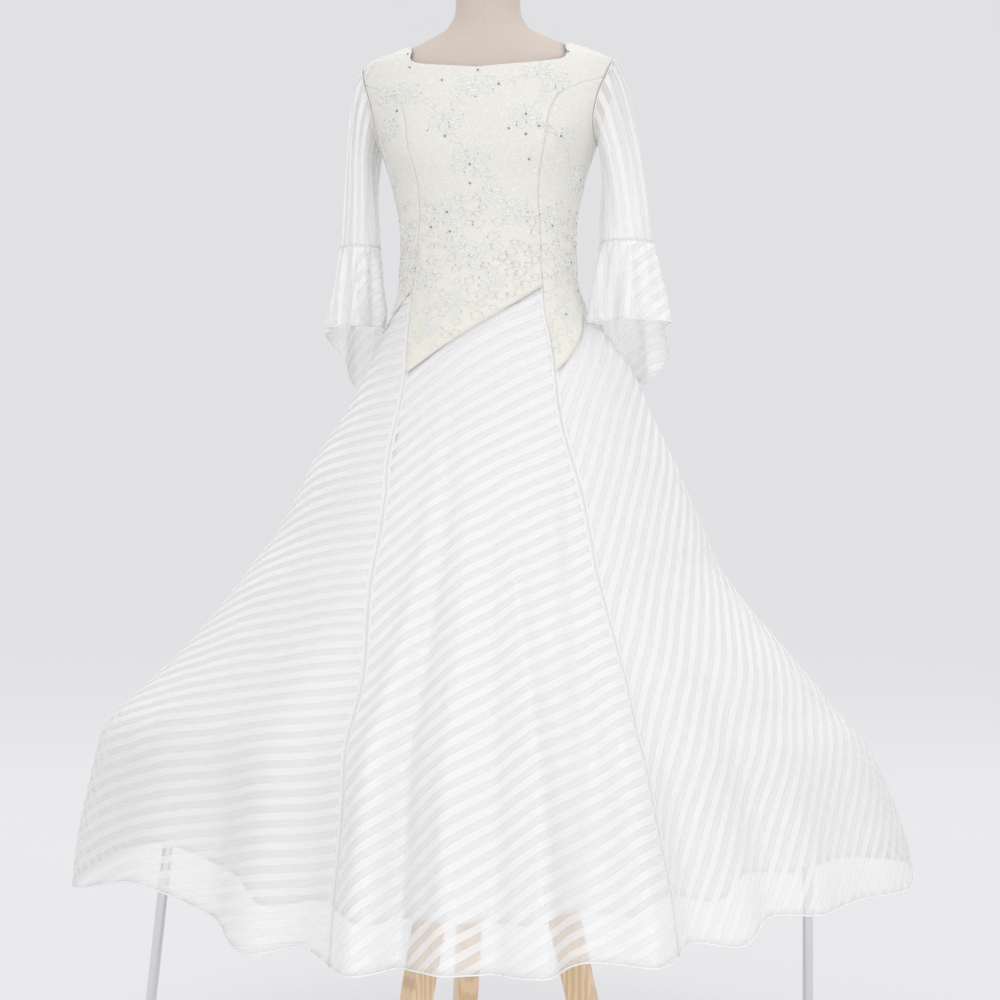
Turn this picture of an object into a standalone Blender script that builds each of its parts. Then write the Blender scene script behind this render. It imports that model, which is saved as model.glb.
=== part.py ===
"""Ballroom dance dress on a limbless dress form.

Metres, +Z up, front toward -Y. The origin is on the floor, under the middle of the skirt.
The dress hangs on a linen form with a wooden stand, and a steel stand holds out each side of
the skirt. Cloth pieces are walls: an open surface worked out from sections, with Solidify.
Angles round the body run from its front, positive to the right, in degrees.
"""

import math

import bmesh
import bpy
import numpy as np
from mathutils import Matrix, Vector

# Cloth
BODICE_WALL = 0.0016
SHEER_WALL = 0.0012
LINING_WALL = 0.0010
SEAM_GAP = 0.0003

# Sections of the shape that bodice and skirt share, about the body's axis
AXIS_X = -0.0031
AXIS_Y = -0.0007
SECTION_COLUMNS = ("height", "left", "right", "front", "back", "turn")
SECTIONS = (
    (1.6200, 0.0500, 0.0500, 0.0480, 0.0520, -10.0),
    (1.5600, 0.0520, 0.0520, 0.0500, 0.0540, -10.0),
    (1.5355, 0.0640, 0.0640, 0.0540, 0.0600, -10.0),
    (1.5220, 0.0880, 0.0880, 0.0600, 0.0680, -10.0),
    (1.5085, 0.1200, 0.1200, 0.0660, 0.0760, -10.0),
    (1.4940, 0.1600, 0.1600, 0.0750, 0.0850, -10.0),
    (1.4785, 0.1900, 0.1900, 0.0840, 0.0930, -10.0),
    (1.4500, 0.1960, 0.1960, 0.0950, 0.1000, -10.0),
    (1.4200, 0.1900, 0.1900, 0.1040, 0.1030, -10.0),
    (1.3800, 0.1740, 0.1740, 0.1100, 0.1030, -10.0),
    (1.3400, 0.1590, 0.1590, 0.1090, 0.1000, -10.0),
    (1.2925, 0.1440, 0.1440, 0.1020, 0.0920, -10.0),
    (1.2475, 0.1350, 0.1350, 0.0970, 0.0870, -10.0),
    (1.2175, 0.1330, 0.1330, 0.0950, 0.0860, -10.5),
    (1.1575, 0.1350, 0.1350, 0.0990, 0.0930, -12.5),
    (1.1400, 0.1370, 0.1390, 0.1010, 0.0970, -13.0),
    (1.1005, 0.1490, 0.1560, 0.1100, 0.1090, -12.0),
    (1.0600, 0.1660, 0.1860, 0.1190, 0.1230, -10.0),
    (1.0195, 0.1840, 0.2170, 0.1300, 0.1390, -8.0),
    (0.9625, 0.2120, 0.2420, 0.1520, 0.1650, -5.0),
    (0.9160, 0.2430, 0.2640, 0.1770, 0.1900, -3.0),
    (0.8770, 0.2670, 0.2835, 0.1990, 0.2130, -1.5),
    (0.8305, 0.2895, 0.3030, 0.2260, 0.2400, 0.0),
    (0.7750, 0.3195, 0.3270, 0.2590, 0.2720, 0.0),
    (0.7300, 0.3540, 0.3465, 0.2860, 0.2980, 0.0),
    (0.6880, 0.3855, 0.3750, 0.3110, 0.3220, 0.0),
    (0.6400, 0.4245, 0.4140, 0.3400, 0.3500, 0.0),
    (0.5950, 0.4665, 0.4545, 0.3670, 0.3770, 0.0),
    (0.5530, 0.5115, 0.4890, 0.3920, 0.4020, 0.0),
    (0.5155, 0.5535, 0.5190, 0.4150, 0.4240, 0.0),
    (0.4825, 0.5760, 0.5520, 0.4340, 0.4430, 0.0),
    (0.4375, 0.5865, 0.5790, 0.4590, 0.4660, 0.0),
    (0.3775, 0.6000, 0.6045, 0.4900, 0.4940, 0.0),
    (0.3175, 0.6110, 0.6240, 0.5200, 0.5210, 0.0),
    (0.2400, 0.6170, 0.6350, 0.5500, 0.5500, 0.0),
)

# The skirt is drawn in between its front and its sides, which stand out like wings
WING_PINCH = ((0.95, 0.0), (0.60, 0.06), (0.40, 0.12), (0.24, 0.13))

# Bust cups: a swelling on each side of the front
BUST_ANGLE = 35.0
BUST_SPREAD = 24.0
BUST_HEIGHT = 1.350
BUST_TALL = 0.046
BUST_SWELL = 0.014

# Seams, as (height, angle) down each
FRONT_SEAM_ABOVE = (
    (1.1400, 46.0),
    (1.2175, 43.5),
    (1.3075, 37.0),
    (1.3720, 35.0),
    (1.4155, 38.0),
    (1.4350, 50.0),
    (1.4470, 67.3),
)
BACK_SEAM_ABOVE = (
    (1.1400, 125.0),
    (1.2175, 130.0),
    (1.3720, 134.0),
    (1.4100, 130.0),
    (1.4470, 112.7),
)
LEFT_FRONT_SEAM = (
    (1.1400, -46.0),
    (1.0700, -39.5),
    (1.0100, -34.5),
    (0.9000, -32.0),
    (0.7175, -26.8),
    (0.5625, -20.5),
    (0.3800, -19.0),
    (0.2400, -19.6),
)
RIGHT_FRONT_SEAM = (
    (1.1400, 46.0),
    (1.0900, 40.0),
    (1.0000, 30.0),
    (0.9200, 27.0),
    (0.7200, 26.5),
    (0.6000, 25.0),
    (0.4500, 23.1),
    (0.2400, 24.7),
)
RIGHT_BACK_SEAM = ((1.1400, 125.0), (1.0100, 128.0), (0.7200, 138.0), (0.5000, 146.0), (0.2400, 148.0))
LEFT_BACK_SEAM = (
    (1.1400, -125.0),
    (1.0100, -130.0),
    (0.7200, -142.0),
    (0.5000, -149.0),
    (0.2400, -150.0),
)

# Lower edge of the bodice: saw teeth, each rising to the right from a seam's valley to a peak
VALLEY_HEIGHT = 1.011
PEAK_HEIGHT = 1.140
HALF_TOOTH = (PEAK_HEIGHT - VALLEY_HEIGHT) / 2
# Rise of a gore's top edge at each tenth of its width: three are straight, one rises fast round the hip
TOOTH_SHARES = (0.0, 0.1, 0.2, 0.3, 0.4, 0.5, 0.6, 0.7, 0.8, 0.9, 1.0)
HIP_TOOTH = (0.0, 0.22, 0.41, 0.57, 0.70, 0.80, 0.88, 0.94, 0.975, 0.993, 1.0)
TOOTH_RISES = {"left": TOOTH_SHARES, "front": TOOTH_SHARES, "right": HIP_TOOTH, "back": TOOTH_SHARES}
LOWER_ROWS_START = VALLEY_HEIGHT - HALF_TOOTH

# Armholes, neckline and shoulders
ARMHOLE_HEIGHT = 1.4168
ARMHOLE_HALF_TALL = 0.0617
ARMHOLE_HALF_ANGLE = 26.0
SHOULDER_END = 1.4785
NECK_END = 1.5085
NECK_EDGE_FRONT = (
    (0.0, 1.4580),
    (33.0, 1.4700),
    (36.0, 1.4740),
    (41.0, 1.4880),
    (52.0, 1.4990),
    (70.0, 1.5060),
    (90.0, 1.5085),
)
NECK_EDGE_BACK = (
    (90.0, 1.5085),
    (110.0, 1.5060),
    (128.0, 1.4990),
    (140.0, 1.4890),
    (150.0, 1.4800),
    (165.0, 1.4760),
    (180.0, 1.4750),
)

# Rows: a seam is straight between these levels, which its two sides share
WAIST_HEIGHT = 1.2175
RIB_HEIGHT = 1.300
SEAM_LEVELS = (1.3350, 1.3720, 1.4000, 1.4200, 1.4350, 1.4470)
ARMHOLE_LEVELS = (1.4600, 1.4710, SHOULDER_END)
SIDE_PANEL_CELLS = 10
SELVEDGE = 0.10
METRES_A_DEGREE = 0.0022
SPREAD_STEPS = 400
SHOULDER_CELLS = 2
NECK_TURN = 5.0
FRONT_NECK_ANGLES = (90, 75, 62, 50, 41, 34, 17, 0)
LEFT_SIDE = (0, 1)
RIGHT_SIDE = (-1, -2)
BACK_NECK_ANGLES = (90, 108, 124, 138, 150, 165, 180)

# Skirt: hem level and ripple (outward, at the hem) round the body
RIPPLE_START = 0.80
RIPPLE_POWER = 1.5
HEM_COLUMNS = ("angle", "height", "ripple")
HEM = (
    (-180, 0.246, 0.010),
    (-165, 0.250, -0.012),
    (-150, 0.255, -0.004),
    (-135, 0.262, 0.010),
    (-122, 0.275, -0.010),
    (-110, 0.280, 0.006),
    (-100, 0.268, -0.005),
    (-90, 0.258, 0.000),
    (-80, 0.265, 0.004),
    (-70, 0.285, -0.006),
    (-60, 0.300, 0.006),
    (-46, 0.272, -0.012),
    (-34, 0.240, 0.010),
    (-25, 0.256, -0.012),
    (-17, 0.240, 0.008),
    (-6, 0.245, -0.014),
    (3, 0.242, 0.008),
    (12, 0.248, -0.012),
    (22, 0.244, 0.012),
    (28, 0.258, -0.012),
    (36, 0.245, 0.010),
    (45, 0.273, -0.010),
    (54, 0.265, 0.010),
    (66, 0.271, -0.008),
    (78, 0.267, 0.005),
    (90, 0.284, 0.000),
    (100, 0.275, -0.006),
    (112, 0.265, 0.008),
    (124, 0.258, -0.010),
    (137, 0.250, 0.010),
    (150, 0.252, -0.008),
    (165, 0.246, 0.008),
    (180, 0.246, 0.010),
)

# The one deep fold of the front gore, which leaves the right front seam
FOLD_COLUMNS = ("height", "angle", "depth", "half_width")
FOLD = (
    (0.920, 25.0, 0.000, 2.5),
    (0.765, 21.2, 0.009, 3.0),
    (0.550, 16.5, 0.015, 3.2),
    (0.374, 14.6, 0.018, 3.4),
    (0.240, 12.6, 0.016, 3.8),
)

UPPER_ROWS = 3
LOWER_ROWS = 8
GORE_CELLS = {"left": 32, "front": 16, "right": 30, "back": 14}

# Underskirt
LINING_TOP = 0.998
LINING_HEM_RISE = 0.052
LINING_CELLS = 44
LINING_ROWS = 6
LINING_FOLD_SPREAD = 2.6
LINING_INSET = ((1.00, 0.0018), (0.90, 0.0060), (0.60, 0.0100), (0.48, 0.0140), (0.28, 0.0340))

# Sleeves, from the armhole to a seam above the elbow
SLEEVE_SEAM_HEIGHT = 1.2075
SLEEVE_CELLS = 32
SLEEVE_ROWS = 7
SLEEVE_LAP = 0.0017
GATHERS_IN_CAP = 8
GATHER_DEPTH = 0.0022
SLEEVE_COLUMNS = ("side", "x", "y", "half_wide", "half_deep", "outward")
SLEEVES = {
    "left": (-1, -0.1930, 0.032, 0.030, 0.044, 0.075),
    "right": (1, 0.2050, -0.042, 0.039, 0.040, 0.085),
}

# Flounces: bells of 6 waves with a long tail at the back
FLOUNCE_CELLS = 36
FLOUNCE_ROWS = 4
FLOUNCE_WAVES = 6
FLOUNCE_WAVE_DEPTH = 0.0085
FLOUNCE_HEM = 1.088
FLOUNCE_TAIL = 0.086
FLOUNCE_TAIL_SPREAD = 48.0
FLOUNCE_COLUMNS = ("x", "y", "half_wide", "half_deep", "tail_angle")
FLOUNCES = {
    "left": (-0.2000, 0.050, 0.0460, 0.070, 182.0),
    "right": (0.2085, -0.052, 0.0600, 0.074, 152.0),
}
FLOUNCE_CLEARANCE = 0.006

# Zip at the centre of the back
ZIP_HALF_WIDE = 0.0025
ZIP_WALL = 0.0016
SLIDER_HEIGHT = 1.4600
SLIDER_WIDE = 0.0090
SLIDER_TALL = 0.0130
SLIDER_THICK = 0.0040
CHEEK_THICK = 0.0014
CHEEK_TALL = 0.0032
BARREL_RADIUS = 0.0011
BARREL_LONG = 0.0044
PULL_WIDE = 0.0060
PULL_LONG = 0.0260
PULL_THICK = 0.0012

# Form
FORM_CELLS = 24
FORM_TOP = 1.612
FORM_BOTTOM = 0.985
FORM_INSET = (
    (1.620, 0.0026),
    (1.530, 0.0034),
    (1.500, 0.0046),
    (1.475, 0.0072),
    (1.430, 0.0056),
    (1.140, 0.0050),
)
FORM_HIP_COLUMNS = ("height", "side", "front", "back")
FORM_HIP = (
    (1.1400, 0.1330, 0.0965, 0.0925),
    (1.1000, 0.1420, 0.1020, 0.1010),
    (1.0600, 0.1520, 0.1060, 0.1100),
    (1.0200, 0.1570, 0.1080, 0.1160),
    (0.9970, 0.1540, 0.1050, 0.1140),
    (0.9850, 0.1400, 0.0930, 0.1000),
)
FORM_LEVELS = (
    1.612, 1.575, 1.550, 1.5355, 1.522, 1.5085, 1.494, 1.4785, 1.460, 1.435, 1.405, 1.375,
    1.345, 1.310, 1.260, 1.2175, 1.180,
)

# Wooden stand
POLE_RADIUS = 0.016
HUB_RADIUS = 0.0262
HUB_BOTTOM = 0.420
HUB_TOP = 0.545
LEG_DIRECTIONS = (("front_left", -46.5), ("front_right", 73.5), ("back", -166.5))
LEG_TOP = 0.500
LEG_SPLAY = 0.233
LEG_THICK = 0.032
LEG_DEEP = 0.048
WOOD_BEVEL = 0.003

# Steel side stands: a base, a rod and a round rest, under the cloth
SIDE_STAND_COLUMNS = ("foot_x", "rest_x", "y", "rest_top")
SIDE_STANDS = {
    "left": (-0.5130, -0.4565, 0.0, 0.5294),
    "right": (0.4795, 0.4795, 0.0, 0.4650),
}
SIDE_BASE_RADIUS = 0.110
SIDE_BASE_THICK = 0.008
SIDE_ROD_RADIUS = 0.008
SIDE_REST_RADIUS = 0.060
SIDE_REST_THICK = 0.008

# Colours: red, green, blue, roughness, metallic
IVORY_LACE = (0.80, 0.75, 0.62, 0.70, 0.0)
WHITE_SATIN = (0.88, 0.88, 0.90, 0.45, 0.0)
WHITE_LINING = (0.85, 0.86, 0.88, 0.60, 0.0)
LINEN = (0.66, 0.57, 0.51, 0.85, 0.0)
PINE = (0.70, 0.50, 0.30, 0.40, 0.0)
STEEL = (0.75, 0.76, 0.78, 0.15, 1.0)
ZIP_WHITE = (0.82, 0.79, 0.70, 0.50, 0.0)


def curve_through(points):
    """Smooth function through (position, value) points that never overshoots a turn."""
    points = sorted(points)
    places = [point[0] for point in points]
    values = [point[1] for point in points]
    grades = [(b - a) / (q - p) for p, q, a, b in zip(places, places[1:], values, values[1:])]
    slopes = [grades[0]]
    for before, after in zip(grades, grades[1:]):
        slopes.append(2 * before * after / (before + after) if before * after > 0 else 0.0)
    slopes.append(grades[-1])

    def value(place):
        place = min(max(place, places[0]), places[-1])
        index = max(i for i in range(len(places) - 1) if places[i] <= place or i == 0)
        span = places[index + 1] - places[index]
        share = (place - places[index]) / span
        rest = 1 - share
        return (
            values[index] * rest * rest * (1 + 2 * share)
            + values[index + 1] * share * share * (3 - 2 * share)
            + slopes[index] * span * share * rest * rest
            - slopes[index + 1] * span * share * share * rest
        )

    return value


def columns_of(rows, names):
    """One smooth function of the first column for each other column of a table."""
    return {name: curve_through([(row[0], row[i]) for row in rows]) for i, name in enumerate(names) if i}


def straight_between(curve, knots):
    """The same function, but straight from each knot to the next one."""
    knots = sorted(knots)

    def value(place):
        for low, high in zip(knots, knots[1:]):
            if low <= place <= high:
                share = (place - low) / (high - low)
                return curve(low) * (1 - share) + curve(high) * share
        return curve(place)

    return value


SECTION = columns_of(SECTIONS, SECTION_COLUMNS)
HEM_AT = columns_of(HEM, HEM_COLUMNS)
FOLD_AT = columns_of(FOLD, FOLD_COLUMNS)
FORM_HIP_AT = columns_of(FORM_HIP, FORM_HIP_COLUMNS)
PINCH_AT = curve_through(WING_PINCH)
LINING_INSET_AT = curve_through(LINING_INSET)
FORM_INSET_AT = curve_through(FORM_INSET)
NECK_FRONT_AT = curve_through(NECK_EDGE_FRONT)
NECK_BACK_AT = curve_through(NECK_EDGE_BACK)
BODICE_KNOTS = (PEAK_HEIGHT, WAIST_HEIGHT, RIB_HEIGHT) + SEAM_LEVELS
SKIRT_KNOTS = (LOWER_ROWS_START, VALLEY_HEIGHT, VALLEY_HEIGHT + HALF_TOOTH, PEAK_HEIGHT)
FRONT_SEAM_AT = straight_between(curve_through(FRONT_SEAM_ABOVE), BODICE_KNOTS)
BACK_SEAM_AT = straight_between(curve_through(BACK_SEAM_ABOVE), BODICE_KNOTS)
SEAMS = {
    "left_front": straight_between(curve_through(LEFT_FRONT_SEAM), SKIRT_KNOTS),
    "right_front": straight_between(curve_through(RIGHT_FRONT_SEAM), SKIRT_KNOTS),
    "right_back": straight_between(curve_through(RIGHT_BACK_SEAM), SKIRT_KNOTS),
    "left_back": straight_between(curve_through(LEFT_BACK_SEAM), SKIRT_KNOTS),
}
# Each gore runs from one seam to the next, and the last one past the back's 180 degrees
GORES = {
    "left": ("left_back", "left_front", 0),
    "front": ("left_front", "right_front", 0),
    "right": ("right_front", "right_back", 0),
    "back": ("right_back", "left_back", 360),
}


def smoothstep(share):
    share = min(max(share, 0.0), 1.0)
    return share * share * (3 - 2 * share)


def wrapped(angle):
    """The same angle between -180 and 180."""
    return (angle + 180) % 360 - 180


def turned(x, y, height):
    """World point of a plan point that turns with the body."""
    turn = math.radians(SECTION["turn"](height))
    cos, sin = math.cos(turn), math.sin(turn)
    return Vector((AXIS_X + x * cos - y * sin, AXIS_Y + x * sin + y * cos, height))


def bust(angle, height):
    """How far the bust cups swell outward here."""
    across = (abs(wrapped(angle)) - BUST_ANGLE) / BUST_SPREAD
    up = (height - BUST_HEIGHT) / BUST_TALL
    return BUST_SWELL * math.exp(-across * across - up * up)


def body_point(angle, height):
    """Point of the outer surface of the bodice and of the skirt without its ripples."""
    bearing = math.radians(angle)
    sin, cos = math.sin(bearing), math.cos(bearing)
    side = SECTION["right" if sin > 0 else "left"](height)
    depth = SECTION["front" if cos > 0 else "back"](height)
    share = 1 - PINCH_AT(height) * math.sin(2 * bearing) ** 2
    swell = bust(angle, height)
    return turned((side * share + swell) * sin, -(depth * share + swell) * cos, height)


def body_normal(angle, height):
    """Outward unit normal of the body's surface."""
    across = body_point(angle + 0.5, height) - body_point(angle - 0.5, height)
    up = body_point(angle, height + 0.001) - body_point(angle, height - 0.001)
    return across.cross(up).normalized()


def offset_body(angle, height, outward):
    return body_point(angle, height) + body_normal(angle, height) * outward


def ripple(angle, height, fold_spread=1.0):
    """How far the skirt stands out from its sections here, from hem ripples and the deep fold."""
    angle = wrapped(angle)
    share = (RIPPLE_START - height) / (RIPPLE_START - 0.25)
    out = HEM_AT["ripple"](angle) * max(share, 0.0) ** RIPPLE_POWER
    across = (angle - FOLD_AT["angle"](height)) / (FOLD_AT["half_width"](height) * fold_spread)
    return out - FOLD_AT["depth"](height) * math.exp(-across * across)


def skirt_point(angle, height, inward=0.0, fold_spread=1.0):
    """Point of the skirt's outer surface, or of a surface inside it."""
    point = body_point(angle, height)
    away = Vector((point.x - AXIS_X, point.y - AXIS_Y, 0)).normalized()
    return point + away * (ripple(angle, height, fold_spread) - inward)


def tooth_height(name, share):
    """Height of a gore's top edge at this share of its width, from its left to its right seam."""
    rise = float(np.interp(share, TOOTH_SHARES, TOOTH_RISES[name]))
    return VALLEY_HEIGHT + (PEAK_HEIGHT - VALLEY_HEIGHT) * rise


def neck_corner(side, reach):
    """Angle of the front neck edge for a table angle: the corners lie turned towards the right."""
    angle = reach
    for _ in range(20):
        angle = reach + side * NECK_TURN * math.sin(math.radians(2 * angle))
    return side * angle


def collection_named(name):
    found = bpy.data.collections.new(name)
    bpy.context.scene.collection.children.link(found)
    return found


def material(name, look):
    """Plain material of one of the colours above."""
    made = bpy.data.materials.get(name)
    if made:
        return made
    made = bpy.data.materials.new(name)
    made.use_nodes = True
    shader = made.node_tree.nodes["Principled BSDF"]
    red, green, blue, roughness, metallic = look
    shader.inputs["Base Color"].default_value = (red, green, blue, 1)
    shader.inputs["Roughness"].default_value = roughness
    shader.inputs["Metallic"].default_value = metallic
    made.diffuse_color = (red, green, blue, 1)
    return made


def add_object(parts, name, mesh, look):
    made = bpy.data.objects.new(name, mesh)
    mesh.materials.append(material("mat_" + name, look))
    parts.objects.link(made)
    return made


def grid_mesh(name, rows, closed=False):
    """Open surface through rows of points, the first row at the top, angles running right."""
    shape = bmesh.new()
    verts = [[shape.verts.new(point) for point in row] for row in rows]
    cells = len(rows[0]) if closed else len(rows[0]) - 1
    for upper, lower in zip(verts, verts[1:]):
        for i in range(cells):
            j = (i + 1) % len(upper)
            shape.faces.new((upper[i], lower[i], lower[j], upper[j]))
    mesh = bpy.data.meshes.new(name)
    shape.to_mesh(mesh)
    shape.free()
    mesh.shade_smooth()
    return mesh


def cloth(parts, name, rows, wall, look, closed=False):
    """Cloth wall on its outer surface."""
    made = add_object(parts, name, grid_mesh(name, rows, closed), look)
    solid = made.modifiers.new("wall", "SOLIDIFY")
    solid.thickness = wall
    solid.offset = -1.0
    return made


def between(edge, place):
    """Point of an edge at a place counted in its own points, such as 2.5."""
    index = min(int(place), len(edge) - 2)
    share = place - index
    return tuple(a + (b - a) * share for a, b in zip(edge[index], edge[index + 1]))


def spread_evenly(grid):
    """Inner points of a grid of (angle, height) moved until no cell folds over (Winslow)."""
    places = np.array(grid, float)
    places[..., 0] *= METRES_A_DEGREE
    for _ in range(SPREAD_STEPS):
        across = (places[1:-1, 2:] - places[1:-1, :-2]) / 2
        along = (places[2:, 1:-1] - places[:-2, 1:-1]) / 2
        corner = (places[2:, 2:] - places[:-2, 2:] - places[2:, :-2] + places[:-2, :-2]) / 4
        alpha = (along**2).sum(-1, keepdims=True)
        beta = (along * across).sum(-1, keepdims=True)
        gamma = (across**2).sum(-1, keepdims=True)
        beside = places[1:-1, 2:] + places[1:-1, :-2]
        above = places[2:, 1:-1] + places[:-2, 1:-1]
        places[1:-1, 1:-1] = (alpha * beside + gamma * above - 2 * beta * corner) / (2 * (alpha + gamma))
    places[..., 0] /= METRES_A_DEGREE
    return [[tuple(point) for point in row] for row in places.tolist()]


def patch(bottom, top, left, right):
    """Rows of (angle, height) between four edges, top row first.

    A narrow cell runs along the sides and the top, so that the walls of two panels stand
    at the same slant where they meet.
    """
    row_count, column_count = len(left) - 1, len(bottom) - 1
    grid = []
    for i, (start, end) in enumerate(zip(left, right)):
        t = i / row_count
        row = []
        for j, (low, high) in enumerate(zip(bottom, top)):
            s = j / column_count
            row.append(
                [
                    (1 - t) * (low[k] - (1 - s) * bottom[0][k] - s * bottom[-1][k])
                    + t * (high[k] - (1 - s) * top[0][k] - s * top[-1][k])
                    + (1 - s) * start[k]
                    + s * end[k]
                    for k in (0, 1)
                ]
            )
        grid.append(row)
    grid = spread_evenly(grid)
    row_places = list(range(row_count)) + [row_count - SELVEDGE, row_count]
    column_places = [0, SELVEDGE] + list(range(1, column_count)) + [column_count - SELVEDGE, column_count]
    columns = list(zip(*grid))
    rows = []
    for row_place in reversed(row_places):
        crossing = [between(column, row_place) for column in columns]
        rows.append([between(crossing, column_place) for column_place in column_places])
    return rows


def half_gap(height):
    """Half a seam's gap as an angle, on the side of the body."""
    return math.degrees(0.5 * SEAM_GAP / SECTION["front"](height))


def armhole(side, turn):
    """(angle, height) on an armhole's edge: turn 0 at its front, 90 on top, 180 at its back."""
    around = math.radians(turn)
    return (
        side * (90 - ARMHOLE_HALF_ANGLE * math.cos(around)),
        ARMHOLE_HEIGHT + ARMHOLE_HALF_TALL * math.sin(around),
    )


def armhole_turn(height):
    """The turn, from 0 to 90, at which an armhole's front edge has this height."""
    return math.degrees(math.asin(min((height - ARMHOLE_HEIGHT) / ARMHOLE_HALF_TALL, 1.0)))


def even_levels(start, end, rows):
    """Even levels from start up to end, without the end."""
    return [start + (end - start) * i / rows for i in range(rows)]


def seam_edge(seam_above, seam_below, side, from_valley, shift):
    """Points up a bodice seam from its foot to the armhole, shifted square to it by half its gap."""
    shared = even_levels(PEAK_HEIGHT, WAIST_HEIGHT, 2) + even_levels(WAIST_HEIGHT, RIB_HEIGHT, 2)
    if from_valley:
        levels = even_levels(VALLEY_HEIGHT, PEAK_HEIGHT, 2) + shared
    else:
        levels = even_levels(shared[0], shared[1], 2) + even_levels(shared[1], shared[2], 2) + shared[2:]
    levels += [RIB_HEIGHT] + list(SEAM_LEVELS)
    levels[0] += SEAM_GAP
    edge = []
    for level in levels:
        angle = side * seam_above(level) if level >= PEAK_HEIGHT else seam_below(level)
        lean = 0.0
        if level > RIB_HEIGHT:
            lean = side * (seam_above(level) - seam_above(level - 0.004)) * METRES_A_DEGREE / 0.004
        square = math.hypot(1.0, lean)
        rise = -shift * 0.5 * SEAM_GAP * lean / square
        edge.append((angle + shift * half_gap(level) / square, level + rise))
    return edge


def straighten(rows, columns, first, last):
    """Points of these columns put on the straight line from one row to another."""
    for column in columns:
        start, end = rows[first][column], rows[last][column]
        for i in range(first + 1, last):
            share = (i - first) / (last - first)
            rows[i][column] = start + (end - start) * share


def tooth_point(name, share):
    """(angle, height) on a gore's top edge at this share of its width."""
    left_seam, right_seam, round_back = GORES[name]
    height = tooth_height(name, share)
    start = SEAMS[left_seam](height)
    end = SEAMS[right_seam](height) + round_back
    return start + (end - start) * share, height


def tooth_share(name, angle):
    """The share of a gore's width at which its top edge has this angle."""
    low, high = 0.0, 1.0
    for _ in range(30):
        middle = (low + high) / 2
        low, high = (middle, high) if tooth_point(name, middle)[0] < angle else (low, middle)
    return low


def tooth_edge(name, first_share, last_share, cells):
    """Points along the bodice's lower edge, a gap above the gore of that name."""
    edge = []
    for j in range(cells + 1):
        angle, height = tooth_point(name, first_share + (last_share - first_share) * j / cells)
        edge.append((angle, height + SEAM_GAP))
    return edge


def ended(edge, first, last):
    """The edge with its two ends put on the corners of a patch."""
    return [first] + edge[1:-1] + [last]


def shoulder_edge(side, shift):
    """Points from a princess seam's end up the armhole and along the shoulder to the neck."""
    edge = []
    for level in ARMHOLE_LEVELS:
        angle = 90 - shift * ARMHOLE_HALF_ANGLE * math.cos(math.radians(armhole_turn(level)))
        edge.append((side * (angle - shift * half_gap(level)), level))
    for i in range(1, SHOULDER_CELLS + 1):
        level = SHOULDER_END + (NECK_END - SHOULDER_END) * i / SHOULDER_CELLS
        edge.append((side * (90 - shift * half_gap(level)), level))
    return edge


def panel_rows(bottom, top, left, right, straight_sides):
    """Rows of a bodice panel; a side is straight where its neighbour has longer cells."""
    rows = [[body_point(angle, height) for angle, height in row] for row in patch(bottom, top, left, right)]
    foot = len(rows) - 1
    for columns in straight_sides:
        straighten(rows, columns, foot - 2, foot)
        straighten(rows, columns, foot - 4, foot - 2)
    return rows


def bodice_front(parts):
    """Front panel: front tooth, two princess seams, armhole fronts, shoulders and neckline."""
    left = seam_edge(FRONT_SEAM_AT, SEAMS["left_front"], -1, True, 1)
    right = seam_edge(FRONT_SEAM_AT, SEAMS["right_front"], 1, False, -1)
    left += shoulder_edge(-1, 1)
    right += shoulder_edge(1, 1)
    neck = [(neck_corner(-1, angle), NECK_FRONT_AT(angle)) for angle in FRONT_NECK_ANGLES]
    neck += [(neck_corner(1, angle), NECK_FRONT_AT(angle)) for angle in reversed(FRONT_NECK_ANGLES[:-1])]
    top = ended(neck, left[-1], right[-1])
    bottom = ended(tooth_edge("front", 0, 1, len(top) - 1), left[0], right[0])
    rows = panel_rows(bottom, top, left, right, [RIGHT_SIDE])
    cloth(parts, "bodice_front", rows, BODICE_WALL, IVORY_LACE)


def bodice_side(parts, side, name):
    """Side panel between the princess seams, under the armhole."""
    front = seam_edge(FRONT_SEAM_AT, SEAMS[name + "_front"], side, side > 0, side)
    back = seam_edge(BACK_SEAM_AT, SEAMS[name + "_back"], side, side < 0, -side)
    left, right = (back, front) if side < 0 else (front, back)
    first = armhole_turn(SEAM_LEVELS[-1])
    turns = [first - (180 + 2 * first) * j / SIDE_PANEL_CELLS for j in range(SIDE_PANEL_CELLS + 1)]
    top = [armhole(side, turn) for turn in (turns[::-1] if side < 0 else turns)]
    top[0], top[-1] = left[-1], right[-1]
    bottom = ended(tooth_edge(name, 0, 1, SIDE_PANEL_CELLS), left[0], right[0])
    rows = panel_rows(bottom, top, left, right, [RIGHT_SIDE])
    cloth(parts, "bodice_side_" + name, rows, BODICE_WALL, IVORY_LACE)


def zip_edge(side):
    """Points up the centre of the back beside the zip, as many as a seam edge has."""
    count = 6 + len(SEAM_LEVELS) + len(ARMHOLE_LEVELS) + SHOULDER_CELLS
    reach = math.degrees((ZIP_HALF_WIDE + SEAM_GAP) / SECTION["left"](tooth_height("back", 0.5)))
    foot = tooth_height("back", tooth_share("back", 180 + side * reach)) + SEAM_GAP
    top = NECK_BACK_AT(180)
    edge = []
    for i in range(count + 1):
        level = foot + (top - foot) * i / count
        reach = math.degrees((ZIP_HALF_WIDE + SEAM_GAP) / SECTION["left"](level))
        edge.append((180 + side * reach, level))
    return edge


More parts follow.
